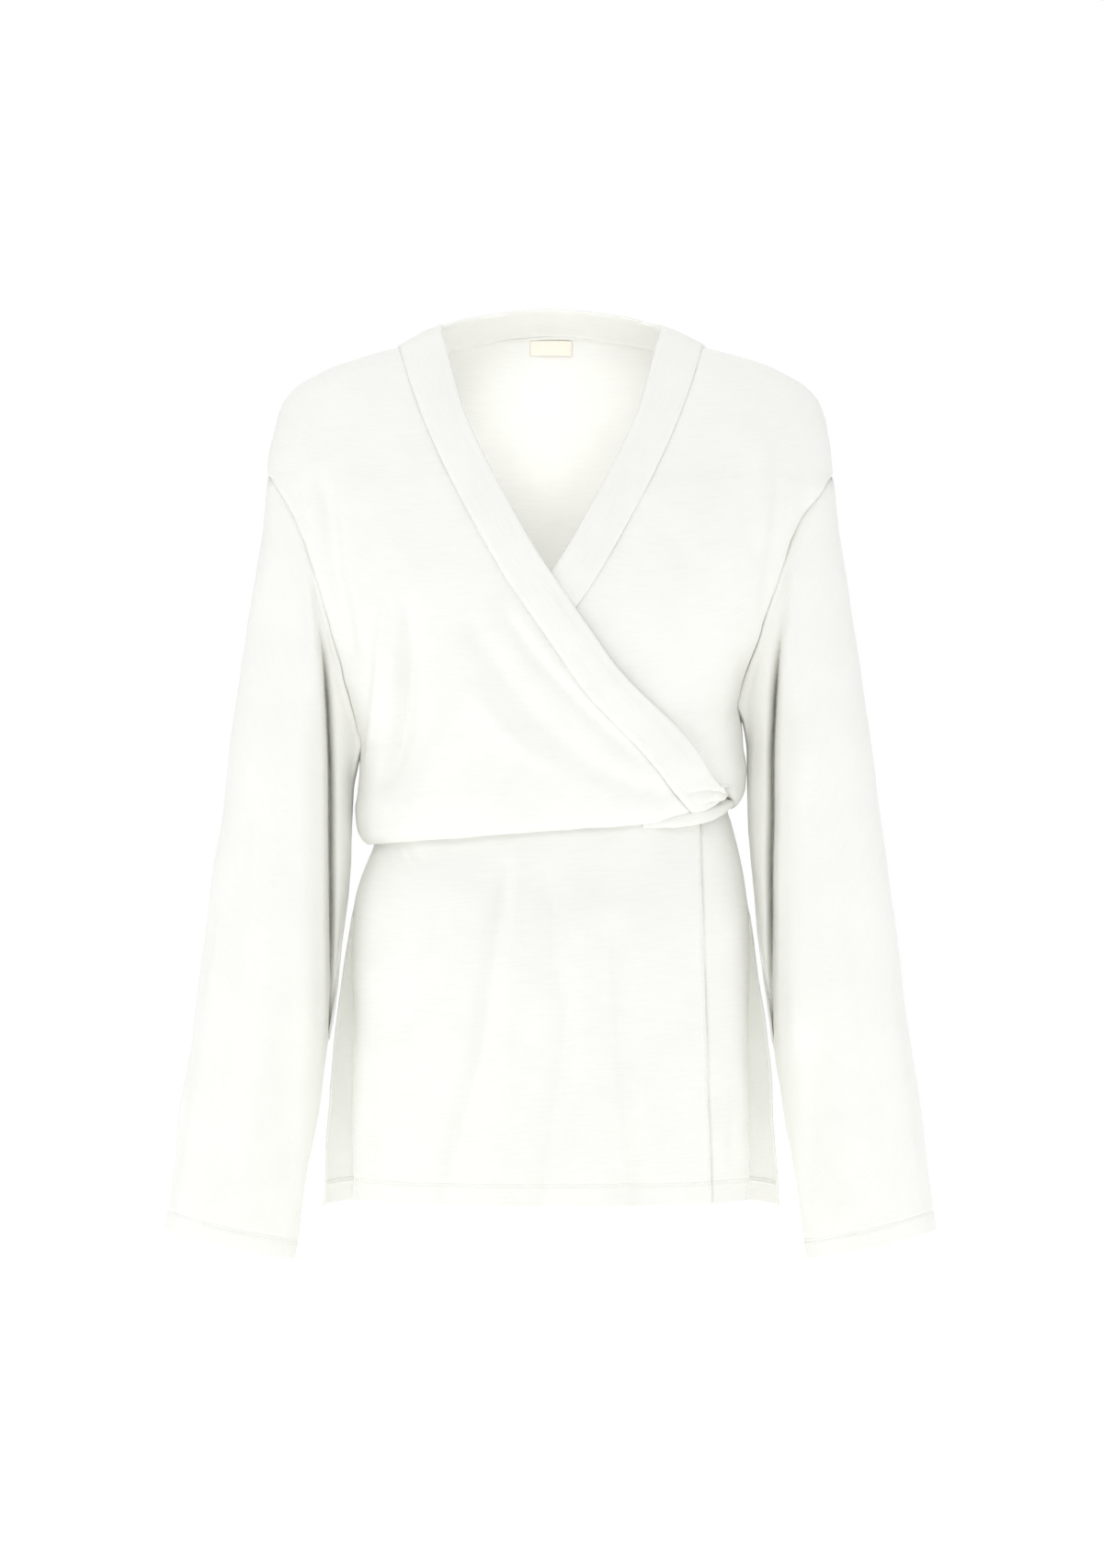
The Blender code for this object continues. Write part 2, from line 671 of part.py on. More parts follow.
class Sheet:
    """A piece of cloth: a grid of points on its outer face, and its seams."""

    def __init__(self, name, grid, flip=False, closed=False, thickness=CLOTH, seams=()):
        self.name = name
        self.grid = grid
        self.closed = closed
        self.thickness = thickness
        self.seams = seams
        self.flip = flip
        self.own_normals = grid_normals(grid, closed) * (-1 if flip else 1)
        self.normals = self.own_normals.copy()

    def edge_indices(self, edge):
        rows, columns = self.grid.shape[:2]
        kind, start, stop = edge
        stop = stop if stop is not None else (columns if kind in ("top", "bottom") else rows)
        if kind == "top":
            return [(0, j) for j in range(start, stop)], (1, 0)
        if kind == "bottom":
            return [(rows - 1, j) for j in range(start, stop)], (-1, 0)
        if kind == "first":
            return [(i, 0) for i in range(start, stop)], (0, 1)
        return [(i, columns - 1) for i in range(start, stop)], (0, -1)

    def pull_back(self):
        """Move the seams' points off the seam line by half of SEAM_GAP."""
        moved = self.grid.copy()
        for edge in self.seams:
            indices, inward = self.edge_indices(edge)
            line = np.array([self.grid[index] for index in indices])
            if self.closed:
                tangent = unit(np.roll(line, -1, axis=0) - np.roll(line, 1, axis=0))
            else:
                tangent = unit(np.gradient(line, axis=0))
            for (i, j), t in zip(indices, tangent):
                inner = self.grid[i + inward[0], j + inward[1]] - self.grid[i, j]
                away = unit(np.cross(self.normals[i, j], t))
                away *= 1 if away @ inner > 0 else -1
                facing = max(float(self.normals[i, j] @ self.own_normals[i, j]), SHARPEST_SEAM)
                moved[i, j] += away * SEAM_GAP / 2 / facing
        return moved

    def build(self):
        outer = self.pull_back()
        inner = outer - self.normals * self.thickness
        rows, columns = outer.shape[:2]
        mesh = bpy.data.meshes.new(self.name)
        work = bmesh.new()
        top = [[work.verts.new(point) for point in row] for row in outer]
        low = [[work.verts.new(point) for point in row] for row in inner]
        last = columns if self.closed else columns - 1

        def patch(a, b, c, d, cut):
            """Two triangles, cut from a to c, or from b to d."""
            halves = ((a, b, c), (a, c, d)) if cut else ((a, b, d), (b, c, d))
            for corners in halves:
                work.faces.new(corners)

        def rim(a, b):
            """Edge of the cloth between two points, cut alike in both pieces of a seam."""
            cut = key(self.grid[a]) < key(self.grid[b])
            (i, j), (m, n) = a, b
            patch(top[i][j], top[m][n], low[m][n], low[i][j], cut)

        for i in range(rows - 1):
            for j in range(last):
                k = (j + 1) % columns
                cut = (np.linalg.norm(outer[i, j] - outer[i + 1, k])
                       < np.linalg.norm(outer[i + 1, j] - outer[i, k]))
                patch(top[i][j], top[i + 1][j], top[i + 1][k], top[i][k], cut)
                patch(low[i][k], low[i + 1][k], low[i + 1][j], low[i][j], not cut)
        for j in range(last):
            k = (j + 1) % columns
            rim((0, j), (0, k))
            rim((rows - 1, k), (rows - 1, j))
        if not self.closed:
            for i in range(rows - 1):
                rim((i + 1, 0), (i, 0))
                rim((i, columns - 1), (i + 1, columns - 1))
        bmesh.ops.recalc_face_normals(work, faces=work.faces[:])
        if work.calc_volume(signed=True) < 0:
            bmesh.ops.reverse_faces(work, faces=work.faces[:])
        work.to_mesh(mesh)
        work.free()
        mesh.shade_smooth()
        return mesh


def share_normals(sheets):
    """Where pieces meet they are given the same normal, so their edges match."""
    totals = {}
    for sheet in sheets:
        for point, normal in zip(sheet.grid.reshape(-1, 3), sheet.own_normals.reshape(-1, 3)):
            body, sleeve = totals.setdefault(key(point), (np.zeros(3), np.zeros(3)))
            (sleeve if sheet.closed else body)[:] += normal
    for sheet in sheets:
        rows, columns = sheet.grid.shape[:2]
        for i in range(rows):
            for j in range(columns):
                body, sleeve = totals[key(sheet.grid[i, j])]
                sheet.normals[i, j] = unit(unit(body) + unit(sleeve))


def make_material(name, colour, roughness):
    material = bpy.data.materials.new(name)
    material.use_nodes = True
    shader = material.node_tree.nodes["Principled BSDF"]
    shader.inputs["Base Color"].default_value = (*colour, 1.0)
    shader.inputs["Roughness"].default_value = roughness
    shader.inputs["Metallic"].default_value = 0.0
    return material


def clear_scene():
    for thing in list(bpy.data.objects):
        bpy.data.objects.remove(thing, do_unlink=True)


def make_sheets():
    back = back_grid()
    right, left = front_grid(-1), front_grid(1)
    band = band_grid(right, left, back)
    rows = len(right)
    lowest = rows - len(BLOUSE) + 3
    top, bottom = len(SHOULDER_ROWS) - 1, len(SHOULDER_ROWS) - 1 + ARMHOLE_STEPS
    side_seams = (("first", 0, top + 1), ("first", top, bottom + 1), ("first", bottom, None))
    other_seams = tuple(("last", start, stop) for _, start, stop in side_seams)
    sheets = [
        Sheet("bodice_back", back, flip=True,
              seams=(("top", 0, None),) + side_seams + other_seams),
        Sheet("bodice_front_right", right, seams=side_seams + (("last", 0, lowest),)),
        Sheet("bodice_front_left", left, flip=True, seams=side_seams + (("last", 0, lowest),)),
        Sheet("neckband", band, thickness=BAND_CLOTH, seams=(("top", 0, None),)),
        Sheet("sleeve_right", sleeve_grid(-1, armhole_loop(right, back, -1)),
              closed=True, seams=(("top", 0, None),)),
        Sheet("sleeve_left", sleeve_grid(1, armhole_loop(left, back, 1)), flip=True,
              closed=True, seams=(("top", 0, None),)),
    ]
    to_slit = len(PEPLUM_TOP_ROWS) + 2
    peplum_side = (("first", 0, to_slit),)
    sheets += [
        Sheet("peplum_back", peplum_back_grid(), flip=True,
              seams=(("first", 0, to_slit), ("last", 0, to_slit))),
        Sheet("peplum_front_right", peplum_front_grid(-1), seams=peplum_side),
        Sheet("peplum_front_left", peplum_front_grid(1), flip=True, seams=peplum_side),
        Sheet("neck_label", label_grid(), flip=True, thickness=LABEL_CLOTH),
    ]
    share_normals(sheets)
    return sheets


def main():
    clear_scene()
    jersey = make_material("ivory_jersey", (0.88, 0.87, 0.83), 0.85)
    woven = make_material("cream_label", (0.90, 0.87, 0.78), 0.7)
    top = bpy.data.objects.new("wrap_top", None)
    bpy.context.collection.objects.link(top)
    for sheet in make_sheets():
        piece = bpy.data.objects.new(sheet.name, sheet.build())
        piece.data.materials.append(woven if sheet.name == "neck_label" else jersey)
        piece.parent = top
        bpy.context.collection.objects.link(piece)


main()
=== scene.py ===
"""Looks of the wrap top: thin shells with folds, seams, hems and stitching.

Metres, +Z up, front towards -Y, the wearer's right at -X. The shells follow
the same sections as the solids, and each replaces its solid. A side is -1 for
the wearer's right and 1 for the left. Tables are in mm.
"""

import math

import bpy
import numpy as np
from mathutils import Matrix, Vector


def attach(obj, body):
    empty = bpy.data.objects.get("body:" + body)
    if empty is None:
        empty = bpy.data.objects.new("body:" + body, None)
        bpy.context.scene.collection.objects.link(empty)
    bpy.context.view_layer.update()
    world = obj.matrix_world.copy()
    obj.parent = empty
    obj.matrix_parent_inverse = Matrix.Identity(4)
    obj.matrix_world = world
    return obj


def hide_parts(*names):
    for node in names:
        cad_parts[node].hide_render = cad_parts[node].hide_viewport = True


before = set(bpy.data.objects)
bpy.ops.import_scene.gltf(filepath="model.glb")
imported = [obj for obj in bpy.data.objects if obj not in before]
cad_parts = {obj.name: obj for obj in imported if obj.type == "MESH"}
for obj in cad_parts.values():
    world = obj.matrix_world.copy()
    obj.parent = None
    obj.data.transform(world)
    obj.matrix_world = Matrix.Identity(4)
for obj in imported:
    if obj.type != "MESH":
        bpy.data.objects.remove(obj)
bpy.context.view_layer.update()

MM = 0.001

# ---- sizes of the top

CLOTH = 1.1 * MM                # thickness of the shells
BAND_CLOTH = 1.9 * MM
EDGE_ROUND = 0.42               # a shell's edge bulges by this share of its thickness
LAYER = 4.4 * MM                # the overlap lies this far outside the underlap
LAYER_RUN = 25 * MM
EDGE_CLEARANCE = 3 * MM
NECK_POINT_Z = -2 * MM
ARMHOLE_TOP_Z = -98.7 * MM
UNDERARM_Z = -295 * MM
SIDE_END_Z = -336.5 * MM
WAIST_Z = -366.5 * MM
SLIT_TOP_Z = -428 * MM
HEM_Z = -648 * MM
BACK_HEM_DROP = 6.5 * MM        # the back hangs this much lower
WAIST_TILT = 0.097              # slope of the waist, which rises to the wearer's left
FRONT_ROUNDNESS = 2.2
BACK_ROUNDNESS = 2.4
WAIST_SIDE = 134.5 * MM
WAIST_FRONT = 80 * MM
WAIST_BACK = 66 * MM
BLOUSE_START = 13 * MM          # the blousing starts this far above the last side row
UNDER_REACH = 0.6               # the underlap's reach past the middle, as a share of the overlap's
UNDER_RISE = 10.5 * MM          # its lower edge lies this much higher, except beside the side seam
BAND_WIDTH = 32 * MM
BAND_ARCH = 0.6 * MM
BAND_STEP = 1.1 * MM            # being double, it stands this far above the panels
BAND_SINK = 2.0 * MM            # where it lies on the underlap its free edge leans in
BAND_SLIM = 0.11                # drawn in by this share down the fronts
BAND_NARROWING = 0.12           # and by this share at its end
BACK_NECK_RISE = 14 * MM
COLLAR_SIDE = 82.5 * MM
COLLAR_BACK = 47 * MM
COLLAR_SIDE_Z = 13.5 * MM
COLLAR_BACK_Z = 29.5 * MM
COLLAR_LEAN = 0.9               # the free edge's depth as a share of the seam's
LABEL_WIDTH = 32 * MM
LABEL_HEIGHT = 10 * MM
LABEL_DROP = 3 * MM
LABEL_CLOTH = 0.5 * MM
CUFF_Z = -682 * MM
CUFF_SLOPE = 11 * MM
SLEEVE_BLEND = 0.35             # share of its length over which the armhole's shape dies out
UNDERARM_BLEND = 0.08
SLEEVE_FORWARD = 16 * MM
PEPLUM_TURN = 8 * MM            # the peplum starts this far above the waist seam
PEPLUM_TURN_UNDER = 15 * MM
SLIT_OPEN_FRONT = 34 * MM       # at the hem the front's side edge stands this far forward
SLIT_OPEN_BACK = 4 * MM
SLIT_CREASE = 15 * MM           # the back folds away behind the fronts' side edges
SLIT_CREASE_INSET = 0.5 * MM    # most of all this far inside them
SLIT_CREASE_WIDTHS = (26 * MM, 4.5 * MM)    # towards the middle and towards the side
UNDER_PEPLUM_EDGE = 100 * MM

# Armhole seam: height and reach
ARMHOLE_LINE = ((-98.7, 215), (-115.5, 204.6), (-138.6, 191.3), (-165, 180.5), (-190, 172),
                (-212, 166), (-231, 160.3), (-262, 151.6), (-280, 146.8), (-289.5, 144.6),
                (-295, 145.5))
# Reach of the whole figure: the shoulder line, and the side seam under the arm
FIGURE = ((-2, 116.5), (-5.6, 131), (-14.7, 160.5), (-22.4, 178.7), (-30.8, 192),
          (-39.2, 200.4), (-56, 208.1), (-75, 212.6), (-98.7, 215), (-115.5, 214.2),
          (-138.6, 209), (-165, 200.5), (-190, 191.5), (-212, 182.5), (-231, 173),
          (-262, 157), (-280, 149.5), (-295, 145.5), (-315, 146.2), (-336.5, 149))
# Depth of the figure: height, front, back
DEPTHS = ((10, 40, 72), (-2, 45, 75), (-20, 62, 79.5), (-50, 79, 85.5), (-100, 96, 92),
          (-150, 105, 95), (-190, 108, 93.5), (-250, 105, 86.5), (-310, 98, 81), (-336.5, 96, 81))
# Blousing: height above the waist and distance outside the waist section
BLOUSE = ((17, 13.4), (9, 11.4), (4, 8.6), (1, 5.8), (0, 4.0), (0.5, 2.6), (2.0, 1.3))
BLOUSE_OUT = BLOUSE[4::-1]      # from its lowest fold up
# Neckline seam of a front: height, distance from the centre towards its own side
NECK_SEAM = ((-2, 114.2), (-35, 103.8), (-74, 88.8), (-104, 74.8), (-138, 56.9), (-179, 33.6),
             (-211, 12.0), (-238, -6.8), (-261, -23), (-310, -69.2), (-358, -109.5), (-372, -121.5))
# The band's end, gathered into the left side seam: x and z of its lower edge and
# of its free edge, and how far it is tucked in
BAND_TAIL = ((129.9, -344.1, 130.9, -341.6, 10), (127.2, -345.8, 130.2, -340.1, 4),
             (123.8, -347.9, 129.6, -338.8, 1), (118.6, -350.8, 128.8, -337.4, 0),
             (113.5, -353.3, 128, -335.8, 0))
# Creases that run into it, as in FOLDS
TAIL_CREASES = (
    (((101, -341), (116, -338.5), (127, -340.5), (131, -342.5)), 1.8, -1.8, 2),
    (((113, -347.5), (123, -346), (130, -344)), 1.6, -1.6, 2),
    (((108, -344.5), (120, -343.5), (129, -343)), 2, 1, 2),
)
# The fronts' lower edge sags towards the middle: place and height
SAG = ((-138, 0), (-60, -1.4), (0, -2.4), (40, -3.8), (70, -4.8), (88, -3.4), (104, -0.5),
       (120, 0))
# The gathered cloth under the wrap's end: place, height of its fold and of the waist seam
GATHER = ((69, -364.2, -365.8), (84, -361.7, -366), (96, -358.6, -365.6), (107.7, -355.6, -364.2),
          (119.4, -351.8, -361), (128, -349.4, -357), (134, -347.8, -352.8), (137.5, -347.2, -350.4))
# Its section: share of the way down, and distance outside the waist section
GATHER_SECTION = ((-0.45, 1), (-0.2, 4.2), (0.12, 6.6), (0.5, 7), (0.85, 6), (1, 4.4), (0.9, 2.4))
GATHER_SLIM = 0.25              # share of that distance at its narrow end
# Peplum: height, reach at the side of the front, of the back, depth in front, behind
PEPLUM = (
    (15, 134.5, 134.5, 80, 66),
    (-1, 134.7, 134.7, 80.1, 66.1),
    (-10, 137.5, 137.5, 81.5, 68.5),
    (-24, 141.8, 141.8, 84.5, 73),
    (-61.5, 149.8, 150.5, 94.5, 88),
    (-98, 151, 156.5, 100, 97),
    (-155, 150, 164.5, 103, 104),
    (-281.5, 149.5, 174, 106, 110),
)
# The overlap's free edge: height, distance from the centre
PEPLUM_EDGE = ((-355, 111.5), (-648, 120.5))
# Sleeve seen from the front: height, outer reach, inner reach, half depth
SLEEVE = (
    (-98.7, 215, 152, 50),
    (-146, 220.5, 150, 54),
    (-196, 228, 149, 56),
    (-246, 236, 147.5, 56),
    (-281, 240.5, 148.5, 55),
    (-300, 243, 149.4, 55),
    (-325, 246, 149.6, 54),
    (-347, 248.5, 149.9, 53),
    (-367, 251.5, 150.4, 52),
    (-395, 256, 151.9, 51),
    (-430, 260.5, 155.1, 50),
    (-465, 265, 159.3, 49),
    (-521, 272, 167.2, 47),
    (-577, 280.5, 176, 45),
    (-633, 288, 184.8, 43),
    (-700, 296, 195.5, 42),
)

# Hems and edges, measured from the edge of the cloth
HEM_STITCHES = (14.7 * MM, 16.5 * MM)
HEM_TURN = 18 * MM
EDGE_STITCH = 4.5 * MM          # along the slits and the overlap's free edge
EDGE_TURN = 6 * MM
EDGE_STAND = 1.0 * MM           # the overlap's turned edge stands out by this much
EDGE_SINK = 2.4 * MM            # and leans in on the underlap at its end
CUFF_STITCHES = (13.2 * MM, 15.0 * MM)
CUFF_TURN = 16.5 * MM
STITCH_LENGTH = 2.6 * MM
STITCH_PITCH = 3.1 * MM
STITCH_MARGIN = 1 * MM          # bare cloth at the ends of a row
# One stitch: share of its length, thickness and height above the groove, in threads
STITCH = ((0, 0, -0.3), (0.2, 0.85, 0.05), (0.5, 1, 0.3), (0.8, 0.85, 0.05), (1, 0, -0.3))
THREAD = 0.48 * MM
# The bar tack below the wrap's end
TACK_X = (112.2 * MM, 115.6 * MM)
TACK_Z = (-370.9 * MM, -371.7 * MM, -372.5 * MM)

# Unevenness of the cloth
SEAM_DIP = 1.35 * MM            # it dips this deep into a seam
SEAM_WIDTH = 2.2 * MM
PUCKER = 0.28 * MM              # small puckers beside a seam
PUCKER_REACH = 9 * MM
GROOVE_DEPTH = 0.55 * MM        # a row of stitches draws it in
GROOVE_WIDTH = 0.6 * MM
WAVE = 0.5 * MM                 # it is nowhere quite smooth
RIPPLE = 0.1 * MM

SEAM_SPAN = 6 * MM              # sewing moves a panel this far from the seam, about
ARMHOLE_SPAN = 5 * MM
HEM_DOUBLE = 0.6                # turned edges are thicker by this share
CUFF_DOUBLE = 0.7
TURN_STEP = 2 * MM              # over this width
EDGE_TURN_STEP = 1.5 * MM
PRESS = 1.6 * MM                # the overlap's edge presses this deep into the underlap
PRESS_WIDTH = 0.8 * MM
PRESS_AWAY = 0.6 * MM
BAND_WAVE = 0.35 * MM
BAND_RIPPLE = 0.12 * MM
GATHER_WAVE = 0.25 * MM

# Where a feature starts and where it is full: by height (_Z), by x (_X), across the band
# (_ACROSS), away from an edge or a seam (_AWAY), or below the slit's top (_DROP). Where a
# feature has an _END pair as well, it dies out there
TILT_Z = (-100 * MM, -280 * MM)
CROWN_Z = (-70 * MM, NECK_POINT_Z)
SAG_Z = (WAIST_Z + 30 * MM, WAIST_Z + 4 * MM)
UNDER_RISE_Z = (WAIST_Z + 17 * MM, WAIST_Z + 9 * MM)
UNDER_RISE_X = (142 * MM, 131 * MM)
LEAN_Z = (-12 * MM, -45 * MM)
NARROWING_Z = (-315 * MM, -352 * MM)
SLIM_Z = (-15 * MM, -75 * MM)
SLIM_END_Z = (-330 * MM, -280 * MM)
SINK_Z = (-175 * MM, -215 * MM)
SINK_END_Z = (-335 * MM, -318 * MM)
SINK_ACROSS = (17 * MM, 27.5 * MM)
STEP_ACROSS = (0, 2 * MM)
THIN_ACROSS = (27 * MM, 32 * MM)
TAIL_X = (92 * MM, 100 * MM)
TAIL_Z = (-330 * MM, -338 * MM)
GATHER_SIZE_X = (69 * MM, 92 * MM)
GATHER_LOWER_X = (112 * MM, 128 * MM)
FORWARD_Z = (UNDERARM_Z + 60 * MM, CUFF_Z)
STAND_AWAY = (6.5 * MM, 2.2 * MM)
SINK_AWAY = (1.8 * MM, 0)
CREASE_DROP = (2 * MM, 24 * MM)
DEEP_Z = (-200 * MM, -330 * MM)
DEEP_CREASE_Z = (-200 * MM, -275 * MM)
DEEP_CREASE_END_Z = (-420 * MM, -530 * MM)
DEEP_AWAY = (0, 10 * MM)
ARM_FOLDS_AWAY = (0, 16 * MM)
ARM_WAVES_AWAY = (0, 30 * MM)
OPENED_Z = (SLIT_TOP_Z + 2 * MM, SLIT_TOP_Z - 4 * MM)
SLIT_SEWN_Z = (SLIT_TOP_Z - 6 * MM, SLIT_TOP_Z)

# ---- mesh density

SHOULDER_ROWS = (-2, -5.6, -10, -16, -23, -32, -44, -62, -80, -98.7)
SHOULDER_SPLIT = 4
ARMHOLE_STEPS = 72
SIDE_STEPS = 15
BLOUSE_SPLIT = 5
FRONT_COLUMNS = 110
BACK_COLUMNS = 160
SLEEVE_ROWS = 190
SLEEVE_POINTS = 180             # round a sleeve, closer together at its deep fold
PEPLUM_ROWS = 104
PEPLUM_FRONT_COLUMNS = 110
PEPLUM_BACK_COLUMNS = 170
BACK_FINE = (10.2, 11.4, 12.6, 13.8, 15, 16.2, 17.4, 18.6, 19.8, 21, 22.2, 23.4, 25)
PEPLUM_FRONT_WIDTH = 310 * MM   # about; these three space the fine rows and columns
PEPLUM_BACK_WIDTH = 440 * MM
SLEEVE_LENGTH = 450 * MM
BAND_COLUMNS = 18
TAIL_SPLIT = 6
GATHER_COLUMNS = 70
GATHER_SPLIT = 5
LABEL_ROWS = 13
LABEL_COLUMNS = 33
# Columns this far from the overlap's free edge, where it lies on the underlap
EDGE_NEAR = (5, 3.2, 2.2, 1.5, 1.0, 0.6, 0.2, -0.3, -0.9, -1.8, -3.5)
# Rows or columns this far from an edge that is stitched
HEM_FINE = (0, 0.7, 1.6, 3, 5, 7.5, 10, 12, 13.3, 13.9, 14.3, 14.7, 15.1, 15.6, 16.1, 16.5, 16.9,
            17.4, 18.2, 19.6)
CUFF_FINE = tuple(d - 1.5 if d > 4 else d * 0.6 for d in HEM_FINE)
EDGE_FINE = (0, 0.6, 1.4, 2.4, 3.3, 3.8, 4.15, 4.5, 4.85, 5.2, 5.8, 7, 9)

# ---- folds

# A fold runs through points (x, z); then its half width, its height (a trough
# is negative) and its sharpness (2 is soft, less is crisper). Two half widths are
# those on the right and on the left of the path
FOLDS = {
    "bodice_front_right": (
        (((-176, -105), (-169, -129), (-163, -175), (-156, -212), (-150, -246)), 7.5, -6, 2),
        (((-198, -92), (-192, -118), (-184, -140)), 4, -2.2, 1.6),
        (((-188, -62), (-182, -90), (-176, -120)), 7, 2.2, 2),
        (((-107, -200), (-109, -238), (-113, -280), (-119, -306), (-125, -332)), (4.5, 9), -4.4, 1.8),
        (((-109, -232), (-113, -280), (-119, -306), (-127, -336)), (5, 11), -6, 1.8),
        (((-127, -208), (-130, -250), (-135, -295), (-139, -318)), (3, 8), 3.2, 1.7),
        (((-30, -196), (-6, -232), (22, -266), (62, -303), (84, -325)), 5.5, 2, 2),
        (((-32, -210), (-14, -238), (26, -278), (62, -312)), 5.5, -2.2, 2),
        (((-58, -214), (-41, -246), (-12, -283), (19, -312), (51, -332), (91, -343)), 9, -2.8, 2),
        (((-60, -262), (-34, -296), (4, -324)), 8, 2, 2),
    ),
    "bodice_front_left": (
        (((196, -118), (188, -150), (182, -205)), 7, -3.6, 2),
        (((160, -84), (159, -118), (158, -150)), 8, 2.4, 2),
        (((172, -112), (168, -150), (160, -212)), 6, -2.6, 2),
        (((76, -128), (90, -146), (99, -166)), 11, -2.2, 2),
        (((148, -232), (145, -258), (140, -285)), 8, -3.2, 2),
        (((100, -285), (116, -308), (128, -330)), 8, -2.6, 2),
    ),
    "bodice_back": (
        (((-150, -112), (-138, -160), (-120, -215)), 10, -4, 2),
        (((150, -118), (136, -170), (118, -225)), 10, -4, 2),
        (((-128, -120), (-114, -170), (-100, -210)), 8, 2.2, 2),
        (((128, -126), (114, -175), (96, -222)), 8, 2.2, 2),
        (((-30, -262), (-38, -300), (-46, -345)), 10, -3.6, 2),
        (((40, -250), (46, -295), (56, -340)), 11, -3.6, 2),
        (((4, -282), (2, -315), (6, -345)), 8, 2.2, 2),
        (((-100, -262), (-106, -300), (-112, -345)), 9, -3.2, 2),
        (((104, -270), (108, -300), (114, -335)), 9, -3.2, 2),
    ),
    "peplum_front_right": (
        (((-34, -396), (-40, -438), (-47, -481), (-53, -535), (-68, -588), (-82, -655)), 9, -5.2, 1.8),
        (((-23, -400), (-28, -482), (-32, -546), (-46, -640)), 9, 3.4, 2),
        (((-4, -402), (0, -460), (8, -505), (4, -546), (-3, -600), (-9, -655)), (10, 9), -4.8, 1.9),
        (((29, -420), (27, -480), (25, -545)), 7, 1.8, 2),
        (((44, -440), (46, -468), (48, -524), (53, -578), (59, -621), (66, -655)), (14, 11), -7, 1.9),
        (((-82, -420), (-85, -438), (-94, -473), (-103, -498), (-108, -520)), 9, -3, 2),
        (((-137, -545), (-134, -600), (-130, -655)), 5, -2.2, 2),
        (((92, -470), (94, -560), (98, -655)), 9, 1.6, 2),
        (((-127, -378), (-123, -387), (-116, -397)), 2.2, -1.7, 2),
        (((-118, -378), (-113, -387), (-105, -399)), 2.4, -1.8, 2),
        (((-108, -378), (-102, -386), (-95, -393)), 2.2, -1.4, 2),
    ),
    "peplum_front_left": (
        (((139, -548), (137, -590), (135, -640)), 5, -2.4, 2),
    ),
    "peplum_back": (
        (((-106, -440), (-114, -520), (-124, -655)), 12, -4.5, 2),
        (((-56, -410), (-62, -500), (-72, -655)), 13, -5.5, 2),
        (((-84, -450), (-92, -560), (-98, -655)), 10, 2.6, 2),
        (((-10, -430), (-6, -540), (-2, -655)), 13, 4, 2),
        (((46, -400), (48, -520), (54, -655)), 12, -5.5, 2),
        (((78, -440), (82, -560), (84, -655)), 9, 2.6, 2),
        (((106, -450), (110, -540), (118, -655)), 11, -4.5, 2),
    ),
}
# The piece that lies over another presses its own troughs into it
OVER = {"bodice_front_left": "bodice_front_right", "peplum_front_left": "peplum_front_right"}
FOLD_FADE = 22 * MM             # a fold dies out over this length at its ends
ARM_FADE = 34 * MM
DEEP_FADE = 20 * MM

# Folds of a sleeve: points (angle round it, height), 0 outside and 90 in front,
# then half width, height and sharpness
ARM_ROUND = 54 * MM             # radius by which an angle becomes a distance
ARM_FOLDS = {
    -1: (
        (((84, -205), (92, -260), (106, -340), (116, -440), (132, -520)), 10, 3.2, 2),
        (((212, -200), (206, -330), (208, -500)), 13, -7, 2),
        (((60, -330), (68, -450), (74, -640)), 12, -2.8, 2),
        (((300, -180), (296, -300), (302, -430)), 14, -4, 2),
        (((258, -400), (262, -520), (256, -660)), 12, -3, 2),
        (((22, -430), (18, -560), (20, -680)), 12, -2.4, 2),
    ),
    1: (
        (((86, -215), (94, -270), (107, -350), (116, -440), (131, -530)), 10, 3, 2),
        (((214, -205), (208, -330), (206, -490)), 13, -7, 2),
        (((64, -300), (70, -430), (72, -620)), 12, -2.6, 2),
        (((304, -190), (298, -310), (300, -440)), 14, -4, 2),
        (((256, -390), (260, -500), (258, -650)), 12, -3, 2),
        (((18, -450), (20, -570), (22, -680)), 12, -2.4, 2),
    ),
}
# The deep fold in front, seen from the front: points (distance from the centre,
# height). The cloth folds over it from outside, and a narrow crease runs along it
DEEP_PATHS = {
    -1: ((178.5, -166), (178, -185), (172.6, -241), (169.8, -283), (168.6, -325), (168.1, -367),
         (167.9, -437), (168, -493), (168, -548)),
    1: ((178.5, -166), (178, -185), (172.6, -241), (170, -283), (168.9, -325), (168.5, -367),
        (168.3, -437), (168.3, -493), (168.3, -548)),
}
DEEP_FOLD = ((15, 1.6), -13, 1.6)
DEEP_CREASE = ((2.6, 1), -27, 1.2)

# ---- curves

_curves = {}


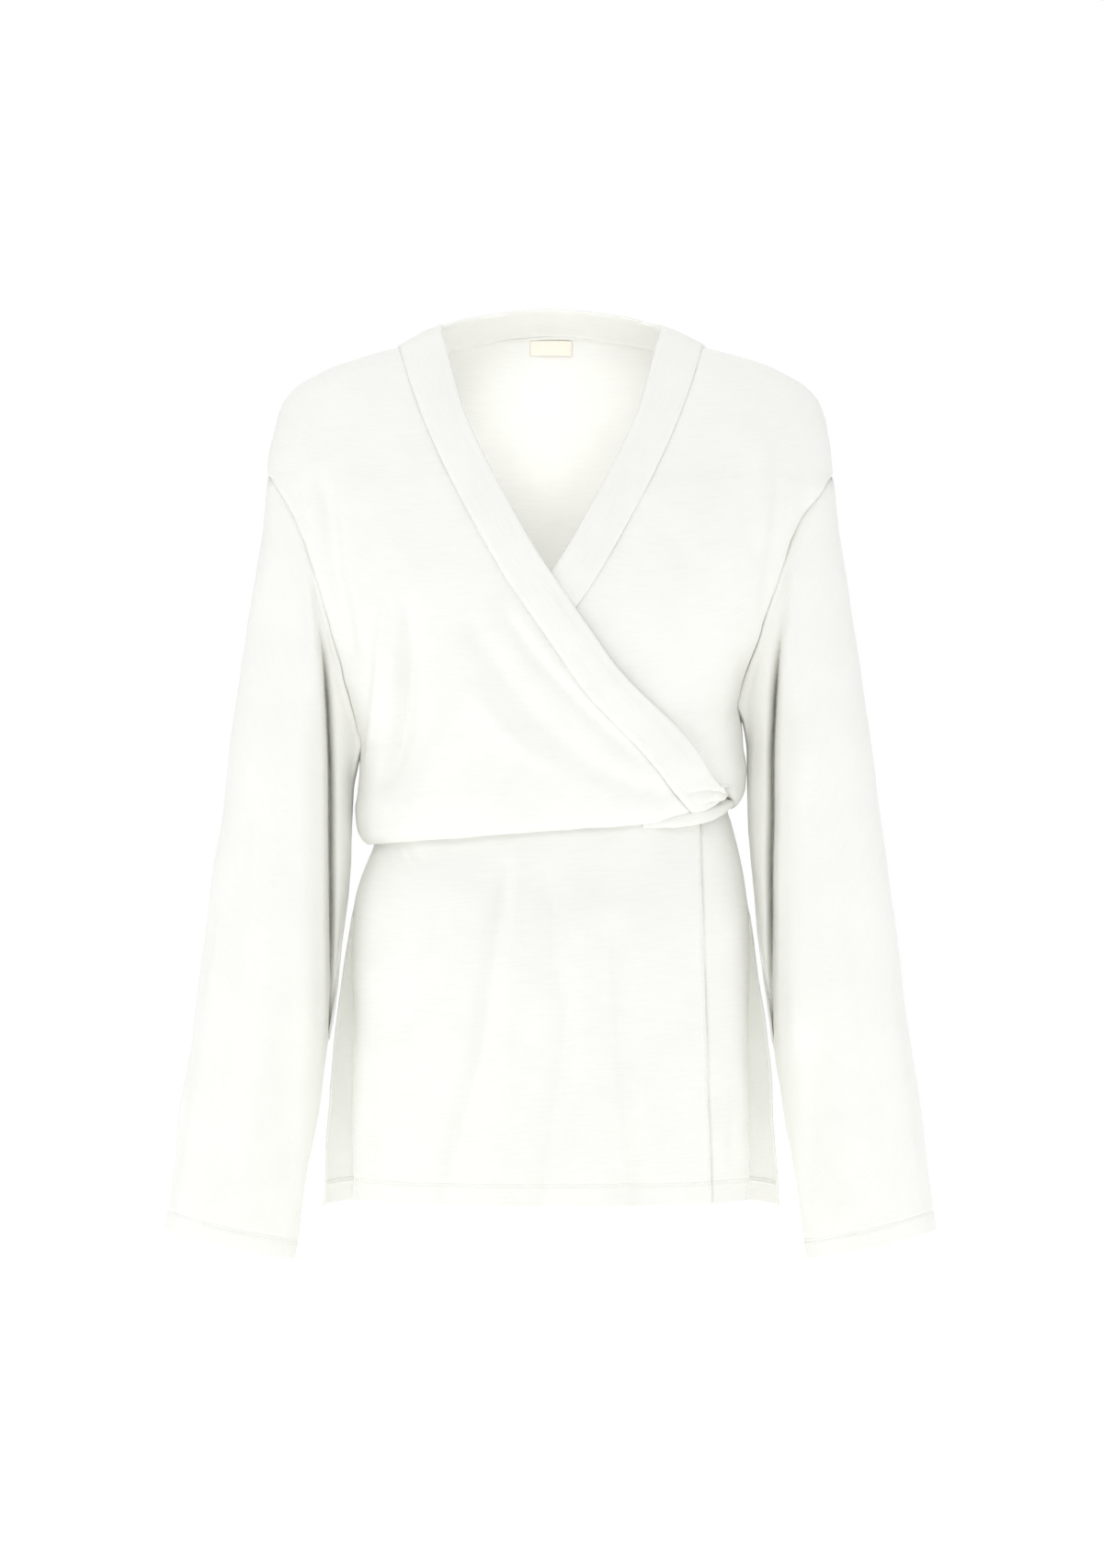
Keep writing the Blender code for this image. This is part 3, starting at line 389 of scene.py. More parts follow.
def curve(table, at, column=1):
    """Smooth curve through a column of a table, at an array of places in metres."""
    name = (id(table), column)
    if name not in _curves:
        xs = np.array([row[0] for row in table], float) * MM
        ys = np.array([row[column] for row in table], float) * MM
        if xs[0] > xs[-1]:
            xs, ys = xs[::-1], ys[::-1]
        step = np.diff(xs)
        slope = np.diff(ys) / step
        tangent = np.empty_like(ys)
        tangent[0], tangent[-1] = slope[0], slope[-1]
        mean = (slope[:-1] * step[1:] + slope[1:] * step[:-1]) / (step[1:] + step[:-1])
        limit = 3 * np.minimum(abs(slope[:-1]), abs(slope[1:])) * (slope[:-1] * slope[1:] > 0)
        tangent[1:-1] = np.clip(mean, -limit, limit)
        _curves[name] = table, xs, ys, step, tangent
    _, xs, ys, step, tangent = _curves[name]
    at = np.clip(np.asarray(at, float), xs[0], xs[-1])
    i = np.clip(np.searchsorted(xs, at, side="right") - 1, 0, len(xs) - 2)
    t = (at - xs[i]) / step[i]
    return ((1 + 2 * t) * (1 - t) ** 2 * ys[i] + t * (1 - t) ** 2 * step[i] * tangent[i]
            + t * t * (3 - 2 * t) * ys[i + 1] + t * t * (t - 1) * step[i] * tangent[i + 1])


def ramp(value, start, end):
    """Smooth step from 0 at the start to 1 at the end, which may be the lower of the two."""
    t = np.clip((np.asarray(value, float) - start) / (end - start), 0.0, 1.0)
    return t * t * (3 - 2 * t)


def bell(away, width, power=2):
    return np.exp(-(abs(away) / width) ** power)


def unit(vectors):
    length = np.linalg.norm(vectors, axis=-1, keepdims=True)
    return vectors / np.maximum(length, 1e-12)


def split(values, parts):
    """The values with parts - 1 more between each two, on a smooth curve."""
    values = np.array(values, float)
    padded = np.concatenate([[2 * values[0] - values[1]], values, [2 * values[-1] - values[-2]]])
    fine = []
    for i in range(1, len(padded) - 2):
        a, b, c, d = padded[i - 1:i + 3]
        for k in range(parts):
            t = k / parts
            fine.append(0.5 * (2 * b + (c - a) * t + (2 * a - 5 * b + 4 * c - d) * t * t
                               + (3 * b - a - 3 * c + d) * t ** 3))
    return fine + [values[-1]]


def split_rows(rows, parts):
    """Rows of a table with more between them, as an array."""
    return np.array([split(column, parts) for column in zip(*rows)]).T


def waves(x, z, seed, size, count=14):
    """Smooth uneven waves of about this size in mm, between about -1 and 1."""
    rng = np.random.RandomState(seed)
    total = np.zeros(np.broadcast(x, z).shape)
    for _ in range(count):
        turn, phase = rng.uniform(0, 2 * math.pi, 2)
        pitch = size * MM * rng.uniform(0.7, 1.6)
        total += np.sin((x * math.cos(turn) + z * math.sin(turn)) * 2 * math.pi / pitch + phase)
    return total / math.sqrt(count)


def near_path(x, z, path):
    """Signed distance to a path, the distance along it, and the path's length."""
    points = split_rows(path, 4) * MM
    best = np.full(np.shape(x), 1e9)
    run, turned = np.zeros(np.shape(x)), np.ones(np.shape(x))
    start = 0.0
    for (ax, az), (bx, bz) in zip(points[:-1], points[1:]):
        length = math.hypot(bx - ax, bz - az)
        ux, uz = (bx - ax) / length, (bz - az) / length
        along = (x - ax) * ux + (z - az) * uz
        held = np.clip(along, 0, length)
        far = np.hypot(x - ax - ux * held, z - az - uz * held)
        closer = far < best
        best = np.where(closer, far, best)
        run = np.where(closer, start + along, run)
        turned = np.where(closer, np.where(ux * (z - az) - uz * (x - ax) < 0, -1, 1), turned)
        start += length
    return best * turned, run, start


def fold_sum(x, z, folds, fade=FOLD_FADE):
    """Height of all the folds at places (x, z)."""
    total = np.zeros(np.shape(x))
    for path, half_width, height, power in folds:
        away, run, length = near_path(x, z, path)
        ends = ramp(run, -fade, fade) * ramp(length - run, -fade, fade)
        one, other = half_width if isinstance(half_width, tuple) else (half_width, half_width)
        total += height * MM * ends * bell(away, np.where(away < 0, one, other) * MM, power)
    return total


# ---- figure

def whole_reach(reach, side_depth, depth, roundness):
    """Reach of the whole section, of which only the part deeper than side_depth is used."""
    return reach / (1 - (side_depth / depth) ** roundness) ** (1 / roundness)


def section_depth(x, whole, depth, roundness):
    inside = np.maximum(1 - np.minimum(abs(x) / whole, 1.0) ** roundness, 0.0)
    return depth * inside ** (1 / roundness)


def tilt(height, x):
    return ramp(height, *TILT_Z) * WAIST_TILT * x


def level(x, z):
    """Height of a point before the tilt."""
    height = z
    for _ in range(4):
        height = z - tilt(height, x)
    return height


def side_reach(height):
    beside_arm = (height > UNDERARM_Z + 1e-9) & (height < ARMHOLE_TOP_Z - 1e-9)
    return np.where(beside_arm, curve(ARMHOLE_LINE, height), curve(FIGURE, height))


def bodice_section(height, front):
    """Reach at the side, reach of the whole section, depth and roundness."""
    height = np.asarray(height, float)
    depth = curve(DEPTHS, height, 1 if front else 2)
    roundness = FRONT_ROUNDNESS if front else BACK_ROUNDNESS
    return side_reach(height), curve(FIGURE, height), depth, roundness


def neck_seam(side, z):
    out = curve(NECK_SEAM, z)
    return out if side < 0 else np.where(out > 0, out, out * UNDER_REACH)


def neck_end(side, height):
    return neck_seam(side, height + tilt(height, side * neck_seam(side, height)))


def overlap_lift(x, z):
    """How far the overlap stands out where it lies on the underlap."""
    step = 4 * MM
    slope = (neck_seam(1, z + step) - neck_seam(1, z - step)) / (2 * step)
    edge = neck_seam(1, z) - BAND_WIDTH * np.hypot(1, slope)
    return LAYER * ramp(x - edge, -LAYER_RUN, -EDGE_CLEARANCE)


def fold_height(piece, x, z):
    under = [fold for fold in FOLDS.get(OVER.get(piece), ()) if fold[2] < 0]
    return fold_sum(x, z, FOLDS.get(piece, ())) + fold_sum(x, z, under)


# ---- bodice

TOP_ROW = (len(SHOULDER_ROWS) - 1) * SHOULDER_SPLIT
UNDERARM_ROW = TOP_ROW + ARMHOLE_STEPS


def bodice_levels():
    """Heights of the rows, closer together at both ends of the armhole."""
    rows = split([height * MM for height in SHOULDER_ROWS], SHOULDER_SPLIT)[:-1] + [ARMHOLE_TOP_Z]
    middle, half = (ARMHOLE_TOP_Z + UNDERARM_Z) / 2, (ARMHOLE_TOP_Z - UNDERARM_Z) / 2
    for t in np.arange(1, ARMHOLE_STEPS) / ARMHOLE_STEPS:
        rows.append(middle + half * (0.4 * math.cos(math.pi * t) + 0.6 * (1 - 2 * t)))
    return rows + list(np.linspace(UNDERARM_Z, SIDE_END_Z, SIDE_STEPS + 1))


def side_to_end(reach, end, whole, shares):
    """Angles round a section from its side to x = end; shares go from 0 to 1."""
    first, last = math.acos(min(float(reach / whole), 1.0)), math.acos(float(end / whole))
    return last * shares + first * (1 - shares) ** 2


def side_to_side(reach, whole, shares):
    """Places across a section; shares go from 0 at a side to 1 in the middle."""
    half = side_to_end(reach, 0.0, whole, shares)
    return whole * np.cos(np.concatenate([half, math.pi - half[-2::-1]]))


def fine_ends(count, length, start=EDGE_FINE, end=EDGE_FINE):
    """Shares from 0 to 1 along this length, closer together beside its ends."""
    start, end = np.array(start) * MM / length, 1 - np.array(end)[::-1] * MM / length
    middle = np.linspace(start[-1], end[0], count - len(start) - len(end) + 3)
    return np.concatenate([start, middle[1:-1], end])


def crown(height, x, reach):
    """Rise of the back towards the middle of the neck."""
    share = 1 - np.minimum(abs(x) / reach, 1.0) ** 2
    return BACK_NECK_RISE * share ** 2 * ramp(height, *CROWN_Z)


def bodice_sections(front):
    """Height, reach at the side, reach of the whole section and depth of every row."""
    rows = []
    for height in bodice_levels():
        rows.append((height, *bodice_section(height, front)[:3]))
    return rows + [(height, reach, reach, depth) for height, reach, depth in blouse_rows(front)]


def blouse_rows(front):
    """Height, reach, depth of the fine rows from the last side row to the waist edge."""
    waist_depth = WAIST_FRONT if front else WAIST_BACK
    rows = []
    for height in (SIDE_END_Z + BLOUSE_START, SIDE_END_Z):
        reach, _, depth, _ = bodice_section(height, front)
        rows.append((height, float(reach), float(depth)))
    rows += [(WAIST_Z + above * MM, WAIST_SIDE + out * MM, waist_depth + out * MM)
             for above, out in BLOUSE]
    return split_rows(rows, BLOUSE_SPLIT)[BLOUSE_SPLIT + 1:]


def back_grid():
    shares = np.linspace(0, 1, BACK_COLUMNS // 2 + 1)
    rows = []
    for height, reach, whole, depth in bodice_sections(front=False):
        x = -side_to_side(reach, whole, shares)
        y = section_depth(x, whole, depth, BACK_ROUNDNESS)
        rows.append(np.stack([x, y, height + tilt(height, x) + crown(height, x, reach)], -1))
    return pin_sides(np.array(rows), (0, -1))


def front_grid(side):
    shares = np.linspace(0, 1, FRONT_COLUMNS + 1)
    rows = []
    for height, reach, whole, depth in bodice_sections(front=True):
        x = side * whole * np.cos(side_to_end(reach, neck_end(side, height), whole, shares))
        z = height + tilt(height, x)
        z = z + curve(SAG, x) * ramp(height, *SAG_Z)
        y = section_depth(x, whole, depth, FRONT_ROUNDNESS)
        if side < 0:
            y = y + overlap_lift(x, z)
        else:
            z = z + UNDER_RISE * ramp(height, *UNDER_RISE_Z) * ramp(x, *UNDER_RISE_X)
        rows.append(np.stack([x, -y, z], -1))
    return pin_sides(np.array(rows), (0,))


def pin_sides(grid, ends):
    """Side seams and shoulder seams lie in the plane y = 0."""
    for i in list(range(TOP_ROW + 1)) + list(range(UNDERARM_ROW, len(grid))):
        for end in ends:
            grid[i, end, 1] = 0.0
    return grid


# ---- neckband

def front_surface(x, z, side):
    """Depth of a dressed front at places (x, z)."""
    height = np.minimum(level(x, z), NECK_POINT_Z)
    _, whole, depth, roundness = bodice_section(height, front=True)
    low = height < SIDE_END_Z
    out = curve(BLOUSE_OUT, np.maximum(height - WAIST_Z, 0.0))
    whole = np.where(low, WAIST_SIDE + out, whole)
    depth = np.where(low, WAIST_FRONT + out, depth)
    lift = overlap_lift(x, z) if side < 0 else 0.0
    name = "bodice_front_right" if side < 0 else "bodice_front_left"
    return section_depth(x, whole, depth, roundness) + lift + fold_height(name, x, z)


def band_front(side, seam):
    """The band's free edge along a front, from the neck seam."""
    flat, height = seam[:, (0, 2)], seam[:, 2]
    along = unit(np.gradient(flat, axis=0))
    across = np.stack([-along[:, 1], along[:, 0]], -1) * (-side)
    narrowing = BAND_NARROWING * ramp(height, *NARROWING_Z)
    narrowing += BAND_SLIM * ramp(height, *SLIM_Z) * ramp(height, *SLIM_END_Z)
    free = flat + across * (BAND_WIDTH * (1 - narrowing))[:, None]
    on_figure = -front_surface(free[:, 0], free[:, 1], side)
    share = ramp(height, *LEAN_Z)
    y = (1 - share) * COLLAR_LEAN * seam[:, 1] + share * on_figure
    return np.stack([free[:, 0], y, free[:, 1]], -1)


def band_back(count):
    turn = np.pi * np.arange(count) / (count - 1)
    z = COLLAR_SIDE_Z + (COLLAR_BACK_Z - COLLAR_SIDE_Z) * np.sin(turn) ** 2
    return np.stack([-COLLAR_SIDE * np.cos(turn), COLLAR_BACK * np.sin(turn), z], -1)


def band_tail(seam, free):
    """Fine points of the band's edges beyond its seam, in the wrap's end."""
    ends = []
    for edge, column in ((seam, 0), (free, 2)):
        points = []
        for row in BAND_TAIL:
            x, z = row[column] * MM, row[column + 1] * MM
            points.append((x, row[4] * MM - float(front_surface(np.array(x), np.array(z), -1)), z))
        fine = split_rows(points + [edge[0], edge[4]], TAIL_SPLIT)
        ends.append(fine[:TAIL_SPLIT * len(BAND_TAIL)])
    return ends


# ---- sleeves

def sleeve_tube(height, turn):
    outer, inner = curve(SLEEVE, height, 1), curve(SLEEVE, height, 2)
    half_depth = curve(SLEEVE, height, 3)
    forward = SLEEVE_FORWARD * ramp(height, *FORWARD_Z)
    x = (outer + inner) / 2 + (outer - inner) / 2 * np.cos(turn)
    return x, -half_depth * np.sin(turn) - forward


def sleeve_turns():
    """Angles round a sleeve, closer together at its deep fold."""
    turn = np.linspace(0, 2 * math.pi, 1441)
    share = np.cumsum(1 + 2.2 * bell(turn - math.radians(118), math.radians(42)))
    share = (share - share[0]) / (share[-1] - share[0])
    return np.interp(np.arange(SLEEVE_POINTS) / SLEEVE_POINTS, share, turn)


def interpolate(at, places, points):
    """Points along a line, whose own points lie at these places."""
    return np.stack([np.interp(at, places, points[:, axis]) for axis in range(3)], -1)


def armhole_loop(front, back, side, turn):
    """Points of the armhole's seam at these turns round it."""
    column = 0 if side < 0 else -1
    down = front[TOP_ROW:UNDERARM_ROW + 1, 0]
    up = back[UNDERARM_ROW - 1:TOP_ROW:-1, column]
    loop = np.concatenate([down, up, down[:1]])
    return interpolate(turn / (2 * math.pi) * (len(loop) - 1), np.arange(len(loop)), loop)


def sleeve_grid(side, armhole, turn):
    x, y, z = abs(armhole[:, 0]), armhole[:, 1], armhole[:, 2]
    cuff = CUFF_Z + CUFF_SLOPE * np.cos(turn)
    start = np.array([x, y]) - np.array(sleeve_tube(z, turn))
    under = ((1 - np.cos(turn)) / 2) ** 2
    blend = SLEEVE_BLEND + (UNDERARM_BLEND - SLEEVE_BLEND) * under
    rows = []
    for t in fine_ends(SLEEVE_ROWS, SLEEVE_LENGTH, (0,), CUFF_FINE):
        height = z + (cuff - z) * t
        x_now, y_now = np.array(sleeve_tube(height, turn)) + start * (1 - ramp(t / blend, 0, 1))
        rows.append(np.stack([side * x_now, y_now, height], -1))
    return np.array(rows)


# ---- peplum

def peplum_levels(first):
    """Distances above the waist seam, from the first row down to the hem."""
    top = list(np.linspace(first, 0, 4)) + list(np.linspace(0, -24 * MM, 13)[1:])
    low = [HEM_Z - WAIST_Z + away * MM for away in HEM_FINE[::-1]]
    count = PEPLUM_ROWS - len(top) - len(low) + 2
    return top + list(np.linspace(top[-1], low[0], count)[1:-1]) + low


def slit_share(drop):
    """0 at the top of the slits and 1 at the hem."""
    return float(ramp(drop, SLIT_TOP_Z - WAIST_Z, HEM_Z - WAIST_Z))


def peplum_row(x, y, drop, sides):
    """A row of the peplum; above the slits its sides lie in the side seams."""
    slope = WAIST_TILT * x * (1 - ramp(drop, 0, SLIT_TOP_Z - WAIST_Z))
    row = np.stack([x, y, WAIST_Z + drop + slope], -1)
    if drop >= SLIT_TOP_Z - WAIST_Z - 1e-9:
        row[sides, 1] = 0.0
    return row


def shares_beside(reach, end, whole, edge):
    """Shares from the side to the free edge, closer together at both and beside x = edge."""
    fine = np.linspace(0, 1, 1201)
    x = whole * np.cos(side_to_end(reach, end, whole, fine))
    near = np.interp([-(edge + d * MM) for d in EDGE_NEAR], -x, fine)
    start = np.array(EDGE_FINE) * MM / PEPLUM_FRONT_WIDTH
    stop = 1 - start[::-1]
    return np.concatenate([start, np.linspace(start[-1], near[0], 16)[1:-1], near,
                           np.linspace(near[-1], stop[0], 74)[1:-1], stop])


def peplum_front_grid(side):
    shares = fine_ends(PEPLUM_FRONT_COLUMNS, PEPLUM_FRONT_WIDTH)
    rows = []
    for drop in peplum_levels(PEPLUM_TURN if side < 0 else PEPLUM_TURN_UNDER):
        reach, depth = float(curve(PEPLUM, drop, 1)), float(curve(PEPLUM, drop, 3))
        whole = whole_reach(reach, SLIT_OPEN_FRONT * slit_share(drop), depth, FRONT_ROUNDNESS)
        edge = float(curve(PEPLUM_EDGE, WAIST_Z + drop))
        end = -edge if side < 0 else -UNDER_PEPLUM_EDGE
        if side > 0:
            shares = shares_beside(reach, end, whole, edge)
        x = side * whole * np.cos(side_to_end(reach, end, whole, shares))
        y = section_depth(x, whole, depth, FRONT_ROUNDNESS)
        if side < 0:
            under = -UNDER_PEPLUM_EDGE
            y = y + LAYER * ramp(x, under - LAYER_RUN, under - EDGE_CLEARANCE)
            y = y - EDGE_SINK * ramp(edge - x, *SINK_AWAY)
            y = y + EDGE_STAND * ramp(edge - x, *STAND_AWAY)
        rows.append(peplum_row(x, -y, drop, 0))
    return np.array(rows)


def peplum_back_grid():
    fine = EDGE_FINE + BACK_FINE
    shares = fine_ends(PEPLUM_BACK_COLUMNS // 2, PEPLUM_BACK_WIDTH / 2, fine, (0,))
    rows = []
    for drop in peplum_levels(PEPLUM_TURN):
        reach, depth = float(curve(PEPLUM, drop, 2)), float(curve(PEPLUM, drop, 4))
        x = -side_to_side(reach, reach, shares)
        y = section_depth(x, reach, depth, BACK_ROUNDNESS)
        y = y - SLIT_OPEN_BACK * slit_share(drop) * (abs(x) / reach) ** 6
        away = abs(x) - float(curve(PEPLUM, drop, 1)) + SLIT_CREASE_INSET
        inner, outer = SLIT_CREASE_WIDTHS
        crease = np.where(away > 0, bell(away, outer, 1.4), bell(away, inner))
        y = y + SLIT_CREASE * crease * ramp(SLIT_TOP_Z - WAIST_Z - drop, *CREASE_DROP)
        row = peplum_row(x, y, drop, (0, -1))
        row[:, 2] -= BACK_HEM_DROP * slit_share(drop)
        rows.append(row)
    return np.array(rows)


# ---- shells

def normals_of(grid, flip, closed=False):
    down = np.gradient(grid, axis=0)
    if closed:
        across = (np.roll(grid, -1, axis=1) - np.roll(grid, 1, axis=1)) / 2
    else:
        across = np.gradient(grid, axis=1)
    return unit(np.cross(down, across)) * (-1 if flip else 1)


def reach_in(grid, edge):
    """Distance of each grid point from an edge, along the grid's lines."""
    axis = 0 if edge in ("top", "bottom") else 1
    steps = np.linalg.norm(np.diff(grid, axis=axis), axis=-1)
    if edge in ("bottom", "last"):
        steps = np.flip(steps, axis)
    total = np.cumsum(steps, axis=axis)
    first = np.zeros_like(np.take(total, [0], axis=axis))
    total = np.concatenate([first, total], axis=axis)
    return np.flip(total, axis) if edge in ("bottom", "last") else total


def make_mesh(name, points, quads, uvs):
    mesh = bpy.data.meshes.new(name)
    quads = np.asarray(quads, np.int32)
    mesh.vertices.add(len(points))
    mesh.vertices.foreach_set("co", np.asarray(points, np.float32).ravel())
    mesh.loops.add(quads.size)
    mesh.loops.foreach_set("vertex_index", quads.ravel())
    mesh.polygons.add(len(quads))
    mesh.polygons.foreach_set("loop_start", np.arange(0, quads.size, 4, dtype=np.int32))
    layer = mesh.uv_layers.new(name="cloth")
    layer.data.foreach_set("uv", np.asarray(uvs, np.float32)[quads.ravel()].ravel())
    mesh.update(calc_edges=True)
    mesh.validate()
    mesh.shade_smooth()
    return mesh


def shell(name, grid, thickness, flip=False, closed=False):
    """Closed wall of cloth: outer face, inner face and rounded edges between them."""
    rows, columns = grid.shape[:2]
    count = rows * columns
    thickness = np.broadcast_to(thickness, (rows, columns))[..., None]
    inner = grid - normals_of(grid, flip, closed) * thickness
    out = np.zeros_like(grid)
    out[0], out[-1] = unit(grid[0] - grid[1]), unit(grid[-1] - grid[-2])
    index = np.arange(count).reshape(rows, columns)
    if closed:
        across = np.cumsum(np.linalg.norm(grid - np.roll(grid, 1, axis=1), axis=-1), axis=1)
        wrapped = np.hstack([index, index[:, :1]])
        rims = [index[0], index[-1, np.r_[0, columns - 1:0:-1]]]
    else:
        across = reach_in(grid, "first")
        wrapped = index
        rims = [np.concatenate([index[0, :-1], index[:-1, -1], index[-1, :0:-1], index[:0:-1, 0]])]
        out[:, 0] += unit(grid[:, 0] - grid[:, 1])
        out[:, -1] += unit(grid[:, -1] - grid[:, -2])
    uv = np.stack([across, reach_in(grid, "top")], -1).reshape(-1, 2)
    face = np.stack([wrapped[:-1, :-1], wrapped[1:, :-1], wrapped[1:, 1:], wrapped[:-1, 1:]], -1)
    face = face.reshape(-1, 4)
    points, uvs, quads = [grid.reshape(-1, 3), inner.reshape(-1, 3)], [uv, uv], [face, face[:, ::-1] + count]
    ring = 2 * count
    for upper in rims:
        a, b = points[0][upper], points[1][upper]
        half = unit(out.reshape(-1, 3)[upper]) * np.linalg.norm(a - b, axis=-1, keepdims=True)
        points.append((a + b) / 2 + half * EDGE_ROUND)
        uvs.append(uv[upper])
        middle = ring + np.arange(len(upper))
        ring += len(upper)
        for one, other in ((upper, middle), (middle, upper + count)):
            quads.append(np.stack([one, np.roll(one, -1), np.roll(other, -1), other], -1))
    quads = np.concatenate(quads)
    return make_mesh(name, np.concatenate(points), quads if flip else quads[:, ::-1], np.concatenate(uvs))


def place(name, mesh, material, node=None):
    piece = bpy.data.objects.new(name, mesh)
    bpy.context.scene.collection.objects.link(piece)
    mesh.materials.append(material)
    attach(piece, "root")
    if node:
        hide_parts(node)
    return piece


# ---- materials

def set_sockets(node, sockets):
    """Give a node's sockets constants, or link them to other nodes' outputs."""
    for key, value in sockets.items():
        if isinstance(value, bpy.types.NodeSocket):
            node.id_data.links.new(value, node.inputs[key])
        else:
            node.inputs[key].default_value = value


def add_node(tree, kind, sockets=(), **settings):
    node = tree.nodes.new("ShaderNode" + kind)
    for key, value in settings.items():
        setattr(node, key, value)
    set_sockets(node, dict(sockets))
    return node


def new_material(name, **sockets):
    """A material, its node tree and its shader."""
    material = bpy.data.materials.new(name)
    material.use_nodes = True
    shader = material.node_tree.nodes["Principled BSDF"]
    set_sockets(shader, {key.replace("_", " "): value for key, value in sockets.items()})
    return material, material.node_tree, shader


def noise(tree, at, scale, detail=2.0):
    return add_node(tree, "TexNoise", {"Vector": at, "Scale": scale, "Detail": detail}).outputs["Fac"]


def add_bump(tree, shader, height, strength, distance):
    bump = add_node(tree, "Bump", {"Height": height, "Strength": strength, "Distance": distance})
    set_sockets(shader, {"Normal": bump.outputs["Normal"]})


def darkened(tree, colour, by, low, high, darkest):
    """The colour, multiplied by darkest where the value is low and by 1 where it is high."""
    limits = {"From Min": low, "From Max": high, "To Min": darkest}
    shade = add_node(tree, "MapRange", {"Value": by, **limits}).outputs["Result"]
    mix = add_node(tree, "Mix", {"Factor": 1.0, "A": colour, "B": shade},
                   data_type="RGBA", blend_type="MULTIPLY")
    return mix.outputs["Result"]


def make_jersey(name, colour):
    """Fine single jersey: columns of small stitches, of uneven yarn and tone, with painted shade in the
    hollows between the stitches.
    """
    material, tree, shader = new_material(name, Roughness=0.88, Specular_IOR_Level=0.18,
                                          Sheen_Weight=0.06, Sheen_Roughness=0.6)

    def maths(operation, a, b=0.0):
        return add_node(tree, "Math", {0: a, 1: b}, operation=operation).outputs[0]

    uv = add_node(tree, "UVMap", uv_map="cloth").outputs["UV"]
    parts = add_node(tree, "SeparateXYZ", {0: uv}).outputs
    u = maths("MULTIPLY", parts["X"], 2 * math.pi / WALE)
    v = maths("MULTIPLY", parts["Y"], 2 * math.pi / COURSE)
    lean = maths("MULTIPLY", maths("ABSOLUTE", maths("SINE", maths("MULTIPLY", u, 0.5))), 2.4)
    stitch = maths("MULTIPLY", maths("SINE", maths("ADD", v, lean)), 0.45)
    knit = maths("ADD", maths("COSINE", u), stitch)
    at = add_node(tree, "TexCoord").outputs["Object"]
    # thicker and thinner yarn: short streaks along the courses
    streaks = {0: maths("MULTIPLY", parts["X"], 46), 1: maths("MULTIPLY", parts["Y"], 640)}
    slub = noise(tree, add_node(tree, "CombineXYZ", streaks).outputs[0], 1.0)
    height = maths("ADD", maths("MULTIPLY", knit, 0.35), noise(tree, at, 900.0, 3.0))
    height = maths("ADD", height, maths("MULTIPLY", slub, 1.1))
    add_bump(tree, shader, height, 0.22, 0.25 * MM)

    tone = add_node(tree, "ValToRGB", {"Fac": noise(tree, at, 22.0, 4.0)})
    for stop, position, share in zip(tone.color_ramp.elements, (0.3, 0.7), (0.975, 1)):
        stop.position = position
        stop.color = (*(c * share for c in colour), 1)
    # painted shade: the colour is darker in the hollows between the knitted stitches, where the bump is low
    shaded_in_knit_hollows = darkened(tree, tone.outputs["Color"], knit, -1.4, 0.4, 0.955)
    # and a little darker where the yarn's streaks run low
    set_sockets(shader, {"Base Color": darkened(tree, shaded_in_knit_hollows, slub, 0.3, 0.6, 0.978)})
    return material


def make_plain(name, colour, grain_scale):
    """Close-woven tape or thread: one colour with a fine grain."""
    material, tree, shader = new_material(name, Roughness=0.6, Specular_IOR_Level=0.25,
                                          Base_Color=(*colour, 1))
    grain = noise(tree, add_node(tree, "TexCoord").outputs["Object"], grain_scale)
    add_bump(tree, shader, grain, 0.15, 0.2 * MM)
    return material


IVORY = (0.905, 0.91, 0.858)
WALE = 0.8 * MM                 # width of a column of knitted stitches
COURSE = 0.7 * MM               # height of a row of them
jersey = make_jersey("jersey", IVORY)
band_jersey = make_jersey("jersey_band", IVORY)
label_cloth = make_plain("label_weave", (0.90, 0.855, 0.735), 1500.0)
thread = make_plain("thread", (0.90, 0.905, 0.865), 3000.0)

# ---- folds and seams of a panel

def groove(away, stitches):
    """Rows of stitches draw the cloth in along narrow lines."""
    return -GROOVE_DEPTH * sum(bell(away - at, GROOVE_WIDTH) for at in stitches)


def seam_dip(away, along, seed):
    """Dip and small puckers beside a seam."""
    puckers = waves(along, away * 0.2, seed, 16, 6)
    return PUCKER * puckers * bell(away, PUCKER_REACH) - SEAM_DIP * bell(away, SEAM_WIDTH)


def displaced(name, grid, flip, seams, seed, extra=0.0):
    """A panel with its folds, its unevenness and its seams."""
    x, y, z = np.moveaxis(grid, -1, 0)
    out = WAVE * waves(x + 0.35 * y, z * 0.7, seed, 46) + extra
    out = out + RIPPLE * waves(x + 0.5 * y, z * 0.6, seed + 7, 15) + fold_height(name, x, z)
    for number, edge in enumerate(seams):
        along = z if edge in ("first", "last") else x
        out = out + seam_dip(reach_in(grid, edge), along, seed + 50 + number)
    return grid + normals_of(grid, flip) * out[..., None]


def settle(grid, correction, edge, span=SEAM_SPAN):
    """Move an edge by a correction at each of its points, which dies out further in."""
    share = bell(reach_in(grid, edge), span)[..., None]
    return grid + share * np.expand_dims(correction, 0 if edge == "top" else 1)


def sew(back, edge, front, held):
    """Bring a front's side seam and an edge of the back together, where held is 1."""
    column = 0 if edge == "first" else -1
    half = (front[:, 0] - back[:, column]) / 2 * held[:, None]
    return settle(back, half, edge), settle(front, -half, "first")


def sew_both(back, right, left, held):
    back, right = sew(back, "first", right, held)
    back, left = sew(back, "last", left, held)
    return back, right, left


def add_panel(name, grid, thickness, flip, closed=False, material=jersey):
    """Place a panel's shell in place of its solid."""
    mesh = shell(name, grid, thickness, flip, closed)
    place(name + "_cloth", mesh, material, name)
    cuts[name] = (grid, closed)


# ---- pieces

